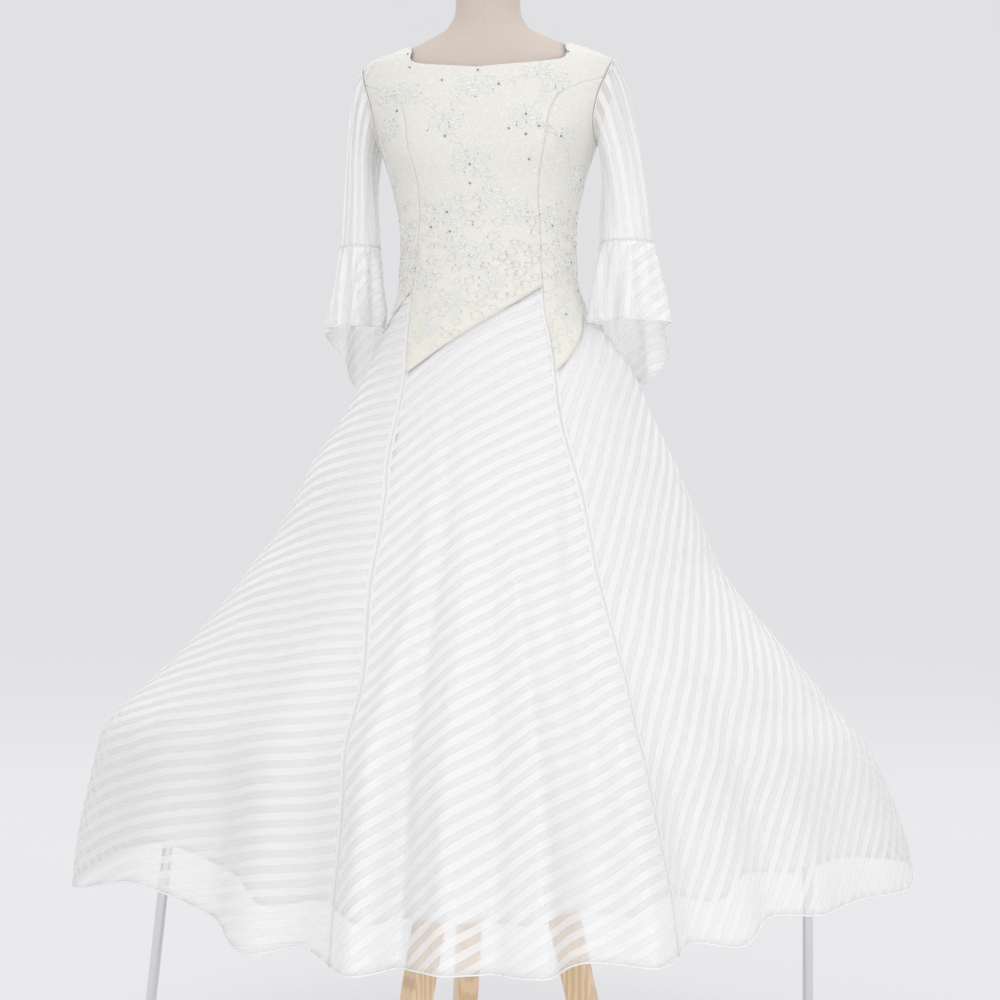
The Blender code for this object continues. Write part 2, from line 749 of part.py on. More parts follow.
def bodice_back(parts, side, name):
    """Back panel from a princess seam to the zip."""
    seam = seam_edge(BACK_SEAM_AT, SEAMS[name + "_back"], side, side > 0, side)
    seam += shoulder_edge(side, -1)
    top = [(side * angle, NECK_BACK_AT(angle)) for angle in BACK_NECK_ANGLES]
    centre = zip_edge(-side)
    if side < 0:
        seam = [(angle + 360, height) for angle, height in seam]
        top = [(angle + 360, height) for angle, height in top][::-1]
        left, right = centre, seam
        bottom = tooth_edge("back", tooth_share("back", left[0][0]), 1, len(top) - 1)
    else:
        left, right = seam, centre
        bottom = tooth_edge("back", 0, tooth_share("back", right[0][0]), len(top) - 1)
    bottom, top = ended(bottom, left[0], right[0]), ended(top, left[-1], right[-1])
    rows = panel_rows(bottom, top, left, right, [RIGHT_SIDE] if side < 0 else [])
    cloth(parts, "bodice_back_" + name, rows, BODICE_WALL, IVORY_LACE)


def skirt_heights(top, hem):
    """Heights down a skirt column from its top edge to its hem."""
    upper = [top + (LOWER_ROWS_START - top) * i / UPPER_ROWS for i in range(UPPER_ROWS)]
    lower = [LOWER_ROWS_START + (hem - LOWER_ROWS_START) * i / LOWER_ROWS for i in range(LOWER_ROWS + 1)]
    return upper + lower


def gore(parts, name):
    """One gore of the skirt, with its saw tooth on top and the ripples of its hem."""
    left_seam, right_seam, round_back = GORES[name]
    cells = GORE_CELLS[name]
    places = [0, SELVEDGE] + list(range(1, cells)) + [cells - SELVEDGE, cells]
    columns = []
    for place in places:
        share = place / cells
        gap_side = 1 if place == 0 else -1 if place == cells else 0
        hem_angle = SEAMS[left_seam](0.25) * (1 - share) + (SEAMS[right_seam](0.25) + round_back) * share
        hem = HEM_AT["height"](wrapped(hem_angle))
        column = []
        for height in skirt_heights(tooth_height(name, share), hem):
            start = SEAMS[left_seam](height)
            end = SEAMS[right_seam](height) + round_back
            angle = start + (end - start) * share + gap_side * half_gap(height)
            column.append(skirt_point(angle, height))
        columns.append(column)
    rows = [list(row) for row in zip(*columns)]
    straighten(rows, LEFT_SIDE, 0, UPPER_ROWS)
    cloth(parts, "skirt_gore_" + name, rows, SHEER_WALL, WHITE_SATIN)


def underskirt(parts):
    """Lining of the skirt, a little inside it and shorter."""
    columns = []
    for j in range(LINING_CELLS):
        angle = 360 * j / LINING_CELLS - 180
        hem = HEM_AT["height"](angle) + LINING_HEM_RISE
        column = []
        for i in range(LINING_ROWS + 1):
            height = LINING_TOP + (hem - LINING_TOP) * i / LINING_ROWS
            inward = SHEER_WALL + LINING_INSET_AT(height)
            column.append(skirt_point(angle, height, inward, LINING_FOLD_SPREAD))
        columns.append(column)
    rows = [list(row) for row in zip(*columns)]
    cloth(parts, "underskirt", rows, LINING_WALL, WHITE_LINING, closed=True)


def sleeve_line(name, turn, share):
    """Point of a sleeve's outer surface: turn 0 at its front, 90 outside, share 0 at the cap."""
    side, x, y, half_wide, half_deep, outward = SLEEVES[name]
    around = math.radians(turn)
    sin, cos = math.sin(around), math.cos(around)
    start = offset_body(*armhole(side, turn), SLEEVE_LAP)
    end = Vector((AXIS_X + x + side * half_wide * sin, AXIS_Y + y - half_deep * cos, SLEEVE_SEAM_HEIGHT))
    leave = Vector((side * outward * (0.75 + 0.25 * sin), -0.055 * cos, -0.12 + 0.02 * sin))
    arrive = Vector((side * 0.010 * (1 + sin), 0, -0.20))
    rest = 1 - share
    point = (
        start * (rest * rest * (1 + 2 * share))
        + leave * (share * rest * rest)
        + end * (share * share * (3 - 2 * share))
        - arrive * (share * share * rest)
    )
    crest = max(sin + 0.15, 0.0) * smoothstep(share * 8) * (1 - smoothstep((share - 0.12) / 0.45))
    wave = math.cos(around * GATHERS_IN_CAP * 2)
    return point + Vector((side * sin, -cos, 0)) * (GATHER_DEPTH * crest * wave)


def sleeve(parts, name):
    """Sheer sleeve, gathered into the armhole."""
    side = SLEEVES[name][0]
    rows = []
    for i in range(SLEEVE_ROWS + 1):
        share = i / SLEEVE_ROWS
        row = [sleeve_line(name, 360 * j / SLEEVE_CELLS, share) for j in range(SLEEVE_CELLS)]
        rows.append(row if side > 0 else row[::-1])
    cloth(parts, "sleeve_" + name, rows, SHEER_WALL, WHITE_SATIN, closed=True)


def clear_of_skirt(point):
    """The point, moved out where it would come too near the skirt."""
    height = point.z
    turn = -math.radians(SECTION["turn"](height))
    x, y = point.x - AXIS_X, point.y - AXIS_Y
    x, y = x * math.cos(turn) - y * math.sin(turn), x * math.sin(turn) + y * math.cos(turn)
    side = SECTION["right" if x > 0 else "left"](height)
    depth = SECTION["front" if y < 0 else "back"](height)
    reach = math.hypot(x / side, y / depth)
    least = 1 + (FLOUNCE_CLEARANCE + SHEER_WALL) / side
    grow = max(1.0, least / reach)
    return turned(x * grow, y * grow, height)


def flounce(parts, name):
    """Bell at the end of a sleeve, with waves and a long tail behind the arm."""
    side, top_x, top_y, top_wide, top_deep, _ = SLEEVES[name]
    hem_x, hem_y, hem_wide, hem_deep, tail_angle = FLOUNCES[name]
    rows = []
    for i in range(FLOUNCE_ROWS + 1):
        share = i / FLOUNCE_ROWS
        row = []
        for j in range(FLOUNCE_CELLS):
            turn = 360 * j / FLOUNCE_CELLS
            around = math.radians(turn)
            tail = math.exp(-((wrapped(turn - tail_angle) / FLOUNCE_TAIL_SPREAD) ** 2))
            hem = FLOUNCE_HEM - FLOUNCE_TAIL * tail
            top = SLEEVE_SEAM_HEIGHT - SEAM_GAP
            open_share = share ** 0.8
            wave = FLOUNCE_WAVE_DEPTH * share * math.cos(FLOUNCE_WAVES * around + 0.6)
            wide = top_wide + (hem_wide - top_wide) * open_share + wave
            deep = top_deep + (hem_deep - top_deep) * open_share + wave
            x = AXIS_X + top_x + (hem_x - top_x) * open_share + side * wide * math.sin(around)
            y = AXIS_Y + top_y + (hem_y - top_y) * open_share - deep * math.cos(around)
            row.append(clear_of_skirt(Vector((x, y, top + (hem - top) * share))))
        rows.append(row if side > 0 else row[::-1])
    cloth(parts, "flounce_" + name, rows, SHEER_WALL, WHITE_SATIN, closed=True)


def closed_rings(rings):
    """Closed shape through rings of points from the top down, capped at both ends."""
    shape = bmesh.new()
    verts = [[shape.verts.new(point) for point in ring] for ring in rings]
    count = len(rings[0])
    for upper, lower in zip(verts, verts[1:]):
        for i in range(count):
            j = (i + 1) % count
            shape.faces.new((upper[i], lower[i], lower[j], upper[j]))
    shape.faces.new(verts[0])
    shape.faces.new(verts[-1][::-1])
    mesh = bpy.data.meshes.new("rings")
    shape.to_mesh(mesh)
    shape.free()
    mesh.shade_smooth()
    mesh.set_sharp_from_angle(angle=math.radians(50))
    return mesh


def form_torso(parts):
    """Linen form: a limbless torso with the cloth's own shape, cut flat under the hips."""
    rings = []
    angles = [360 * i / FORM_CELLS for i in range(FORM_CELLS)]
    for height in FORM_LEVELS:
        rings.append([offset_body(angle, height, -FORM_INSET_AT(height)) for angle in angles])
    for height, side, front, back in FORM_HIP:
        ring = []
        for angle in angles:
            sin, cos = math.sin(math.radians(angle)), math.cos(math.radians(angle))
            ring.append(turned(side * sin, -(front if cos > 0 else back) * cos, height))
        rings.append(ring)
    for ring, height in zip(rings, FORM_LEVELS):
        for point in ring:
            point.z = min(point.z, height) if height == FORM_TOP else point.z
    add_object(parts, "form_torso", closed_rings(rings), LINEN)


def cylinder(parts, name, radius, bottom, top, x, y, look, sides=32, bevel=0.0):
    """Upright round bar or disc."""
    shape = bmesh.new()
    bmesh.ops.create_cone(
        shape, cap_ends=True, segments=sides, radius1=radius, radius2=radius, depth=top - bottom
    )
    mesh = bpy.data.meshes.new(name)
    shape.to_mesh(mesh)
    shape.free()
    mesh.shade_smooth()
    mesh.set_sharp_from_angle(angle=math.radians(50))
    made = add_object(parts, name, mesh, look)
    made.location = (x, y, (bottom + top) / 2)
    if bevel:
        add_bevel(made, bevel)
    return made


def add_bevel(made, width):
    rounding = made.modifiers.new("edges", "BEVEL")
    rounding.width = width
    rounding.segments = 1
    rounding.limit_method = "ANGLE"


def leg(parts, name, bearing):
    """Tapered board from the hub down to the floor, cut level at both ends."""
    shape = bmesh.new()
    bmesh.ops.create_cube(shape, size=1.0)
    top_reach = HUB_RADIUS + SEAM_GAP - LEG_SPLAY * WOOD_BEVEL + LEG_DEEP / 2
    foot_reach = top_reach + LEG_SPLAY * LEG_TOP
    for vert in shape.verts:
        upper = vert.co.z > 0
        deep = LEG_DEEP if upper else LEG_DEEP * 0.85
        vert.co.x *= LEG_THICK
        vert.co.y = (top_reach if upper else foot_reach) + vert.co.y * deep
        vert.co.z = LEG_TOP if upper else 0.0
    mesh = bpy.data.meshes.new(name)
    shape.to_mesh(mesh)
    shape.free()
    made = add_object(parts, name, mesh, PINE)
    made.location = (AXIS_X, AXIS_Y, 0)
    made.rotation_euler.z = math.radians(bearing + 180)
    add_bevel(made, WOOD_BEVEL)


def wooden_stand(parts):
    """Pole under the form, hub and three legs."""
    cylinder(
        parts, "stand_pole", POLE_RADIUS, HUB_TOP + SEAM_GAP, FORM_BOTTOM - SEAM_GAP, AXIS_X, AXIS_Y, PINE, 24
    )
    cylinder(parts, "stand_hub", HUB_RADIUS, HUB_BOTTOM, HUB_TOP, AXIS_X, AXIS_Y, PINE, 24, WOOD_BEVEL)
    for name, bearing in LEG_DIRECTIONS:
        leg(parts, "stand_leg_" + name, bearing)


def side_stand(parts, name):
    """Steel stand that holds out one side of the skirt: base, rod and round rest in one."""
    foot_x, rest_x, y, rest_top = SIDE_STANDS[name]
    profile = (
        (SIDE_BASE_RADIUS, 0.0),
        (SIDE_BASE_RADIUS, SIDE_BASE_THICK),
        (SIDE_ROD_RADIUS, SIDE_BASE_THICK),
        (SIDE_ROD_RADIUS, rest_top - SIDE_REST_THICK),
        (SIDE_REST_RADIUS, rest_top - SIDE_REST_THICK),
        (SIDE_REST_RADIUS, rest_top),
    )
    rings = []
    count = 20
    for radius, height in reversed(profile):
        share = min(max((height - SIDE_BASE_THICK) / (rest_top - SIDE_REST_THICK - SIDE_BASE_THICK), 0), 1)
        centre = AXIS_X + foot_x + (rest_x - foot_x) * share
        rings.append(
            [
                Vector((centre + radius * math.cos(turn), AXIS_Y + y + radius * math.sin(turn), height))
                for turn in (math.tau * i / count for i in range(count))
            ]
        )
    add_object(parts, "side_stand_" + name, closed_rings(rings), STEEL)


def zip_frame():
    """Matrix of the zip's top: origin on the cloth's outside, x right, y out, z up the back."""
    origin = body_point(180, SLIDER_HEIGHT)
    out = body_normal(180, SLIDER_HEIGHT)
    up = body_point(180, SLIDER_HEIGHT + 0.001) - body_point(180, SLIDER_HEIGHT - 0.001)
    up = (up - out * up.dot(out)).normalized()
    across = out.cross(up)
    axes = Matrix((across, out, up)).transposed().to_4x4()
    return Matrix.Translation(origin) @ axes


def hinge_height():
    """How far out from the cloth, and down from the slider's middle, the pull's axis lies."""
    return SEAM_GAP + SLIDER_THICK + SEAM_GAP + BARREL_RADIUS, -SLIDER_TALL * 0.22


def box(shape, centre, size):
    made = bmesh.ops.create_cube(shape, size=1.0)
    bmesh.ops.scale(shape, vec=size, verts=made["verts"])
    bmesh.ops.translate(shape, vec=centre, verts=made["verts"])


def joined(parts, cutters, name, solids, look, frame):
    """One object from the union of a few simple solids."""
    meshes = []
    for build in solids:
        shape = bmesh.new()
        build(shape)
        mesh = bpy.data.meshes.new(name)
        shape.to_mesh(mesh)
        shape.free()
        meshes.append(mesh)
    made = add_object(parts, name, meshes[0], look)
    made.matrix_world = frame
    for i, mesh in enumerate(meshes[1:]):
        other = bpy.data.objects.new(f"{name}_piece_{i}", mesh)
        cutters.objects.link(other)
        other.matrix_world = frame
        other.hide_render = True
        other.display_type = "WIRE"
        union = made.modifiers.new(f"join_{i}", "BOOLEAN")
        union.operation = "UNION"
        union.solver = "EXACT"
        union.object = other
    return made


def zip_pieces(parts, cutters):
    """Concealed zip up the centre of the back, its slider and the pull that hangs from it."""
    left, right = zip_edge(-1), zip_edge(1)
    rows = []
    for (start, left_height), (end, right_height) in zip(left[::-1], right[::-1]):
        inset = (end - start) * SEAM_GAP / (2 * (ZIP_HALF_WIDE + SEAM_GAP))
        rows.append([body_point(start + inset, left_height), body_point(end - inset, right_height)])
    cloth(parts, "back_zip", rows, ZIP_WALL, ZIP_WHITE)

    frame = zip_frame()
    hinge_out, hinge_up = hinge_height()
    cheek_x = BARREL_LONG / 2 + SEAM_GAP + CHEEK_THICK / 2
    face = SEAM_GAP + SLIDER_THICK

    def slider_body(shape):
        box(shape, (0, SEAM_GAP + SLIDER_THICK / 2, 0), (SLIDER_WIDE, SLIDER_THICK, SLIDER_TALL))

    def cheek(side):
        def build(shape):
            centre = (side * cheek_x, face + BARREL_RADIUS, hinge_up)
            box(shape, centre, (CHEEK_THICK, 2 * BARREL_RADIUS + 0.0008, CHEEK_TALL))

        return build

    joined(parts, cutters, "zip_slider", (slider_body, cheek(-1), cheek(1)), STEEL, frame)

    pivot = frame @ Matrix.Translation((0, hinge_out, hinge_up))

    def barrel(shape):
        turn = Matrix.Rotation(math.radians(90), 4, "Y")
        bmesh.ops.create_cone(
            shape,
            cap_ends=True,
            segments=16,
            radius1=BARREL_RADIUS,
            radius2=BARREL_RADIUS,
            depth=BARREL_LONG,
            matrix=turn,
        )

    def plate(shape):
        box(shape, (0, 0, -PULL_LONG / 2), (BARREL_LONG * 0.9, PULL_THICK, PULL_LONG))

    def end(shape):
        turn = Matrix.Translation((0, 0, -PULL_LONG)) @ Matrix.Rotation(math.radians(90), 4, "X")
        bmesh.ops.create_cone(
            shape,
            cap_ends=True,
            segments=20,
            radius1=PULL_WIDE / 2,
            radius2=PULL_WIDE / 2,
            depth=PULL_THICK,
            matrix=turn,
        )

    joined(parts, cutters, "zip_pull", (barrel, plate, end), STEEL, pivot)


def main():
    for leftover in list(bpy.data.objects):
        bpy.data.objects.remove(leftover, do_unlink=True)
    parts = collection_named("ballroom_dance_dress")
    cutters = collection_named("cutters")
    form_torso(parts)
    wooden_stand(parts)
    for name in SIDE_STANDS:
        side_stand(parts, name)
    bodice_front(parts)
    for side, name in ((-1, "left"), (1, "right")):
        bodice_side(parts, side, name)
        bodice_back(parts, side, name)
    zip_pieces(parts, cutters)
    for name in GORES:
        gore(parts, name)
    underskirt(parts)
    for name in SLEEVES:
        sleeve(parts, name)
        flounce(parts, name)


main()
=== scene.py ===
"""Ballroom dance dress on a limbless linen form: cloth, lace, stones, stands and a studio."""

import math
import random

import bmesh
import bpy
import numpy as np
from mathutils import Matrix, Vector


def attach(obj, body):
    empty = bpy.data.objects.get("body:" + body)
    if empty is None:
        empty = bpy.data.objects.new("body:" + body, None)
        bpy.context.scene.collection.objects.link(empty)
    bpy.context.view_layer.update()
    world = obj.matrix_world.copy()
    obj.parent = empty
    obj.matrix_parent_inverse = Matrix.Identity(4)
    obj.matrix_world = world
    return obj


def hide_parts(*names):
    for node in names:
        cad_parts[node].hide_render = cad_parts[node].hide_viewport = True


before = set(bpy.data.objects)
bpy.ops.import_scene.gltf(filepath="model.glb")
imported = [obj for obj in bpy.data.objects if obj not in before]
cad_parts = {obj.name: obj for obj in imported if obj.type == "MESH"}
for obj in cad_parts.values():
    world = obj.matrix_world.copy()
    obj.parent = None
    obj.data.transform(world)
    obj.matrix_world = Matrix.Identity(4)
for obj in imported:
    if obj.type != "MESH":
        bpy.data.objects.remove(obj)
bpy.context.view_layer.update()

bl_info = {
    "name": "Ballroom dance dress",
    "version": (1, 0, 0),
    "blender": (4, 5, 0),
    "location": "3D View > Sidebar > Dress",
    "description": "Builds a lace and striped organza ballroom dress on its form and stands",
    "category": "Object",
}

BODY = "dress"

# Sections of the shape that bodice and skirt share, about the body's axis

SHEER_WALL = 0.0012
AXIS_X = -0.0031
AXIS_Y = -0.0007
SECTION_COLUMNS = ("height", "left", "right", "front", "back", "turn")
SECTIONS = (
    (1.6200, 0.0500, 0.0500, 0.0480, 0.0520, -10.0),
    (1.5600, 0.0520, 0.0520, 0.0500, 0.0540, -10.0),
    (1.5355, 0.0640, 0.0640, 0.0540, 0.0600, -10.0),
    (1.5220, 0.0880, 0.0880, 0.0600, 0.0680, -10.0),
    (1.5085, 0.1200, 0.1200, 0.0660, 0.0760, -10.0),
    (1.4940, 0.1600, 0.1600, 0.0750, 0.0850, -10.0),
    (1.4785, 0.1900, 0.1900, 0.0840, 0.0930, -10.0),
    (1.4500, 0.1960, 0.1960, 0.0950, 0.1000, -10.0),
    (1.4200, 0.1900, 0.1900, 0.1040, 0.1030, -10.0),
    (1.3800, 0.1740, 0.1740, 0.1100, 0.1030, -10.0),
    (1.3400, 0.1590, 0.1590, 0.1090, 0.1000, -10.0),
    (1.2925, 0.1440, 0.1440, 0.1020, 0.0920, -10.0),
    (1.2475, 0.1350, 0.1350, 0.0970, 0.0870, -10.0),
    (1.2175, 0.1330, 0.1330, 0.0950, 0.0860, -10.5),
    (1.1575, 0.1350, 0.1350, 0.0990, 0.0930, -12.5),
    (1.1400, 0.1370, 0.1390, 0.1010, 0.0970, -13.0),
    (1.1005, 0.1490, 0.1560, 0.1100, 0.1090, -12.0),
    (1.0600, 0.1660, 0.1860, 0.1190, 0.1230, -10.0),
    (1.0195, 0.1840, 0.2170, 0.1300, 0.1390, -8.0),
    (0.9625, 0.2120, 0.2420, 0.1520, 0.1650, -5.0),
    (0.9160, 0.2430, 0.2640, 0.1770, 0.1900, -3.0),
    (0.8770, 0.2670, 0.2835, 0.1990, 0.2130, -1.5),
    (0.8305, 0.2895, 0.3030, 0.2260, 0.2400, 0.0),
    (0.7750, 0.3195, 0.3270, 0.2590, 0.2720, 0.0),
    (0.7300, 0.3540, 0.3465, 0.2860, 0.2980, 0.0),
    (0.6880, 0.3855, 0.3750, 0.3110, 0.3220, 0.0),
    (0.6400, 0.4245, 0.4140, 0.3400, 0.3500, 0.0),
    (0.5950, 0.4665, 0.4545, 0.3670, 0.3770, 0.0),
    (0.5530, 0.5115, 0.4890, 0.3920, 0.4020, 0.0),
    (0.5155, 0.5535, 0.5190, 0.4150, 0.4240, 0.0),
    (0.4825, 0.5760, 0.5520, 0.4340, 0.4430, 0.0),
    (0.4375, 0.5865, 0.5790, 0.4590, 0.4660, 0.0),
    (0.3775, 0.6000, 0.6045, 0.4900, 0.4940, 0.0),
    (0.3175, 0.6110, 0.6240, 0.5200, 0.5210, 0.0),
    (0.2400, 0.6170, 0.6350, 0.5500, 0.5500, 0.0),
)

# The skirt is drawn in between its front and its sides, which stand out like wings
WING_PINCH = ((0.95, 0.0), (0.60, 0.06), (0.40, 0.12), (0.24, 0.13))

# Bust cups: a swelling on each side of the front
BUST_ANGLE = 35.0
BUST_SPREAD = 24.0
BUST_HEIGHT = 1.350
BUST_TALL = 0.046
BUST_SWELL = 0.014

# Seams, as (height, angle) down each
FRONT_SEAM_ABOVE = (
    (1.1400, 46.0),
    (1.2175, 43.5),
    (1.3075, 37.0),
    (1.3720, 35.0),
    (1.4155, 38.0),
    (1.4350, 50.0),
    (1.4470, 67.3),
)
BACK_SEAM_ABOVE = (
    (1.1400, 125.0),
    (1.2175, 130.0),
    (1.3720, 134.0),
    (1.4100, 130.0),
    (1.4470, 112.7),
)
LEFT_FRONT_SEAM = (
    (1.1400, -46.0),
    (1.0700, -39.5),
    (1.0100, -34.5),
    (0.9000, -32.0),
    (0.7175, -26.8),
    (0.5625, -20.5),
    (0.3800, -19.0),
    (0.2400, -19.6),
)
RIGHT_FRONT_SEAM = (
    (1.1400, 46.0),
    (1.0900, 40.0),
    (1.0000, 30.0),
    (0.9200, 27.0),
    (0.7200, 26.5),
    (0.6000, 25.0),
    (0.4500, 23.1),
    (0.2400, 24.7),
)
RIGHT_BACK_SEAM = ((1.1400, 125.0), (1.0100, 128.0), (0.7200, 138.0), (0.5000, 146.0), (0.2400, 148.0))
LEFT_BACK_SEAM = (
    (1.1400, -125.0),
    (1.0100, -130.0),
    (0.7200, -142.0),
    (0.5000, -149.0),
    (0.2400, -150.0),
)

# Lower edge of the bodice: saw teeth, each rising to the right from a seam's valley to a peak
VALLEY_HEIGHT = 1.011
PEAK_HEIGHT = 1.140
HALF_TOOTH = (PEAK_HEIGHT - VALLEY_HEIGHT) / 2
# Rise of a gore's top edge at each tenth of its width: three are straight, one rises fast round the hip
TOOTH_SHARES = (0.0, 0.1, 0.2, 0.3, 0.4, 0.5, 0.6, 0.7, 0.8, 0.9, 1.0)
HIP_TOOTH = (0.0, 0.22, 0.41, 0.57, 0.70, 0.80, 0.88, 0.94, 0.975, 0.993, 1.0)
TOOTH_RISES = {"left": TOOTH_SHARES, "front": TOOTH_SHARES, "right": HIP_TOOTH, "back": TOOTH_SHARES}
LOWER_ROWS_START = VALLEY_HEIGHT - HALF_TOOTH

# Armholes, neckline and shoulders
ARMHOLE_HEIGHT = 1.4168
ARMHOLE_HALF_TALL = 0.0617
ARMHOLE_HALF_ANGLE = 26.0
SHOULDER_END = 1.4785
NECK_END = 1.5085
NECK_EDGE_FRONT = (
    (0.0, 1.4580),
    (33.0, 1.4700),
    (36.0, 1.4740),
    (41.0, 1.4880),
    (52.0, 1.4990),
    (70.0, 1.5060),
    (90.0, 1.5085),
)
NECK_EDGE_BACK = (
    (90.0, 1.5085),
    (110.0, 1.5060),
    (128.0, 1.4990),
    (140.0, 1.4890),
    (150.0, 1.4800),
    (165.0, 1.4760),
    (180.0, 1.4750),
)

NECK_TURN = 5.0
WAIST_HEIGHT = 1.2175
RIB_HEIGHT = 1.300
SEAM_TOP = 1.4470
METRES_A_DEGREE = 0.0022
SPREAD_STEPS = 400

# Skirt: hem level and ripple (outward, at the hem) round the body
RIPPLE_START = 0.80
RIPPLE_POWER = 1.5
HEM_COLUMNS = ("angle", "height", "ripple")
HEM = (
    (-180, 0.246, 0.010),
    (-165, 0.250, -0.012),
    (-150, 0.255, -0.004),
    (-135, 0.262, 0.010),
    (-122, 0.275, -0.010),
    (-110, 0.280, 0.006),
    (-100, 0.268, -0.005),
    (-90, 0.258, 0.000),
    (-80, 0.265, 0.004),
    (-70, 0.285, -0.006),
    (-60, 0.300, 0.006),
    (-46, 0.272, -0.012),
    (-34, 0.240, 0.010),
    (-25, 0.256, -0.012),
    (-17, 0.240, 0.008),
    (-6, 0.245, -0.014),
    (3, 0.242, 0.008),
    (12, 0.248, -0.012),
    (22, 0.244, 0.012),
    (28, 0.258, -0.012),
    (36, 0.245, 0.010),
    (45, 0.273, -0.010),
    (54, 0.265, 0.010),
    (66, 0.271, -0.008),
    (78, 0.267, 0.005),
    (90, 0.284, 0.000),
    (100, 0.275, -0.006),
    (112, 0.265, 0.008),
    (124, 0.258, -0.010),
    (137, 0.250, 0.010),
    (150, 0.252, -0.008),
    (165, 0.246, 0.008),
    (180, 0.246, 0.010),
)

# The one deep fold of the front gore, which leaves the right front seam
FOLD_COLUMNS = ("height", "angle", "depth", "half_width")
FOLD = (
    (0.920, 25.0, 0.000, 2.5),
    (0.765, 21.2, 0.009, 3.0),
    (0.550, 16.5, 0.015, 3.2),
    (0.374, 14.6, 0.018, 3.4),
    (0.240, 12.6, 0.016, 3.8),
)
GORE_CELLS = {"left": 96, "front": 60, "right": 90, "back": 60}
# Underskirt
LINING_TOP = 0.998
LINING_HEM_RISE = 0.052
LINING_FOLD_SPREAD = 2.6
LINING_INSET = ((1.00, 0.0018), (0.90, 0.0060), (0.60, 0.0100), (0.48, 0.0140), (0.28, 0.0340))

# Sleeves, from the armhole to a seam above the elbow
SLEEVE_SEAM_HEIGHT = 1.2075
SLEEVE_LAP = 0.0017
GATHERS_IN_CAP = 8
GATHER_DEPTH = 0.0022
SLEEVE_COLUMNS = ("side", "x", "y", "half_wide", "half_deep", "outward")
SLEEVES = {
    "left": (-1, -0.1930, 0.032, 0.030, 0.044, 0.075),
    "right": (1, 0.2050, -0.042, 0.039, 0.040, 0.085),
}

# Flounces
FLOUNCE_WAVES = 6
FLOUNCE_WAVE_DEPTH = 0.0085
FLOUNCE_HEM = 1.088
FLOUNCE_TAIL = 0.086
FLOUNCE_TAIL_SPREAD = 48.0
FLOUNCE_COLUMNS = ("x", "y", "half_wide", "half_deep", "tail_angle")
FLOUNCES = {
    "left": (-0.2000, 0.050, 0.0460, 0.070, 182.0),
    "right": (0.2085, -0.052, 0.0600, 0.074, 152.0),
}
FLOUNCE_CLEARANCE = 0.006

# Zip at the centre of the back
ZIP_HALF_WIDE = 0.0025
ZIP_WALL = 0.0016
SLIDER_HEIGHT = 1.4600

# Form
FORM_TOP = 1.612
FORM_BOTTOM = 0.985
FORM_INSET = (
    (1.620, 0.0026),
    (1.530, 0.0034),
    (1.500, 0.0046),
    (1.475, 0.0072),
    (1.430, 0.0056),
    (1.140, 0.0050),
)
FORM_HIP_COLUMNS = ("height", "side", "front", "back")
FORM_HIP = (
    (1.1400, 0.1330, 0.0965, 0.0925),
    (1.1000, 0.1420, 0.1020, 0.1010),
    (1.0600, 0.1520, 0.1060, 0.1100),
    (1.0200, 0.1570, 0.1080, 0.1160),
    (0.9970, 0.1540, 0.1050, 0.1140),
    (0.9850, 0.1400, 0.0930, 0.1000),
)

SIDE_STAND_COLUMNS = ("foot_x", "rest_x", "y", "rest_top")
SIDE_STANDS = {
    "left": (-0.5130, -0.4565, 0.0, 0.5294),
    "right": (0.4795, 0.4795, 0.0, 0.4650),
}
SIDE_BASE_RADIUS = 0.110
SIDE_BASE_THICK = 0.008
SIDE_ROD_RADIUS = 0.008
SIDE_REST_RADIUS = 0.060
SIDE_REST_THICK = 0.008


def curve_through(points):
    """Smooth function through (position, value) points that never overshoots a turn."""
    points = sorted(points)
    places = [point[0] for point in points]
    values = [point[1] for point in points]
    grades = [(b - a) / (q - p) for p, q, a, b in zip(places, places[1:], values, values[1:])]
    slopes = [grades[0]]
    for before, after in zip(grades, grades[1:]):
        slopes.append(2 * before * after / (before + after) if before * after > 0 else 0.0)
    slopes.append(grades[-1])

    def value(place):
        place = min(max(place, places[0]), places[-1])
        index = max(i for i in range(len(places) - 1) if places[i] <= place or i == 0)
        span = places[index + 1] - places[index]
        share = (place - places[index]) / span
        rest = 1 - share
        return (
            values[index] * rest * rest * (1 + 2 * share)
            + values[index + 1] * share * share * (3 - 2 * share)
            + slopes[index] * span * share * rest * rest
            - slopes[index + 1] * span * share * share * rest
        )

    return value


def columns_of(rows, names):
    """One smooth function of the first column for each other column of a table."""
    return {name: curve_through([(row[0], row[i]) for row in rows]) for i, name in enumerate(names) if i}



SECTION = columns_of(SECTIONS, SECTION_COLUMNS)
HEM_AT = columns_of(HEM, HEM_COLUMNS)
FOLD_AT = columns_of(FOLD, FOLD_COLUMNS)
FORM_HIP_AT = columns_of(FORM_HIP, FORM_HIP_COLUMNS)
PINCH_AT = curve_through(WING_PINCH)
LINING_INSET_AT = curve_through(LINING_INSET)
FORM_INSET_AT = curve_through(FORM_INSET)
NECK_FRONT_AT = curve_through(NECK_EDGE_FRONT)
NECK_BACK_AT = curve_through(NECK_EDGE_BACK)
FRONT_SEAM_AT = curve_through(FRONT_SEAM_ABOVE)
BACK_SEAM_AT = curve_through(BACK_SEAM_ABOVE)
SEAMS = {
    "left_front": curve_through(LEFT_FRONT_SEAM),
    "right_front": curve_through(RIGHT_FRONT_SEAM),
    "right_back": curve_through(RIGHT_BACK_SEAM),
    "left_back": curve_through(LEFT_BACK_SEAM),
}
# Each gore runs from one seam to the next, and the last one past the back's 180 degrees
GORES = {
    "left": ("left_back", "left_front", 0),
    "front": ("left_front", "right_front", 0),
    "right": ("right_front", "right_back", 0),
    "back": ("right_back", "left_back", 360),
}


def smoothstep(share):
    share = min(max(share, 0.0), 1.0)
    return share * share * (3 - 2 * share)


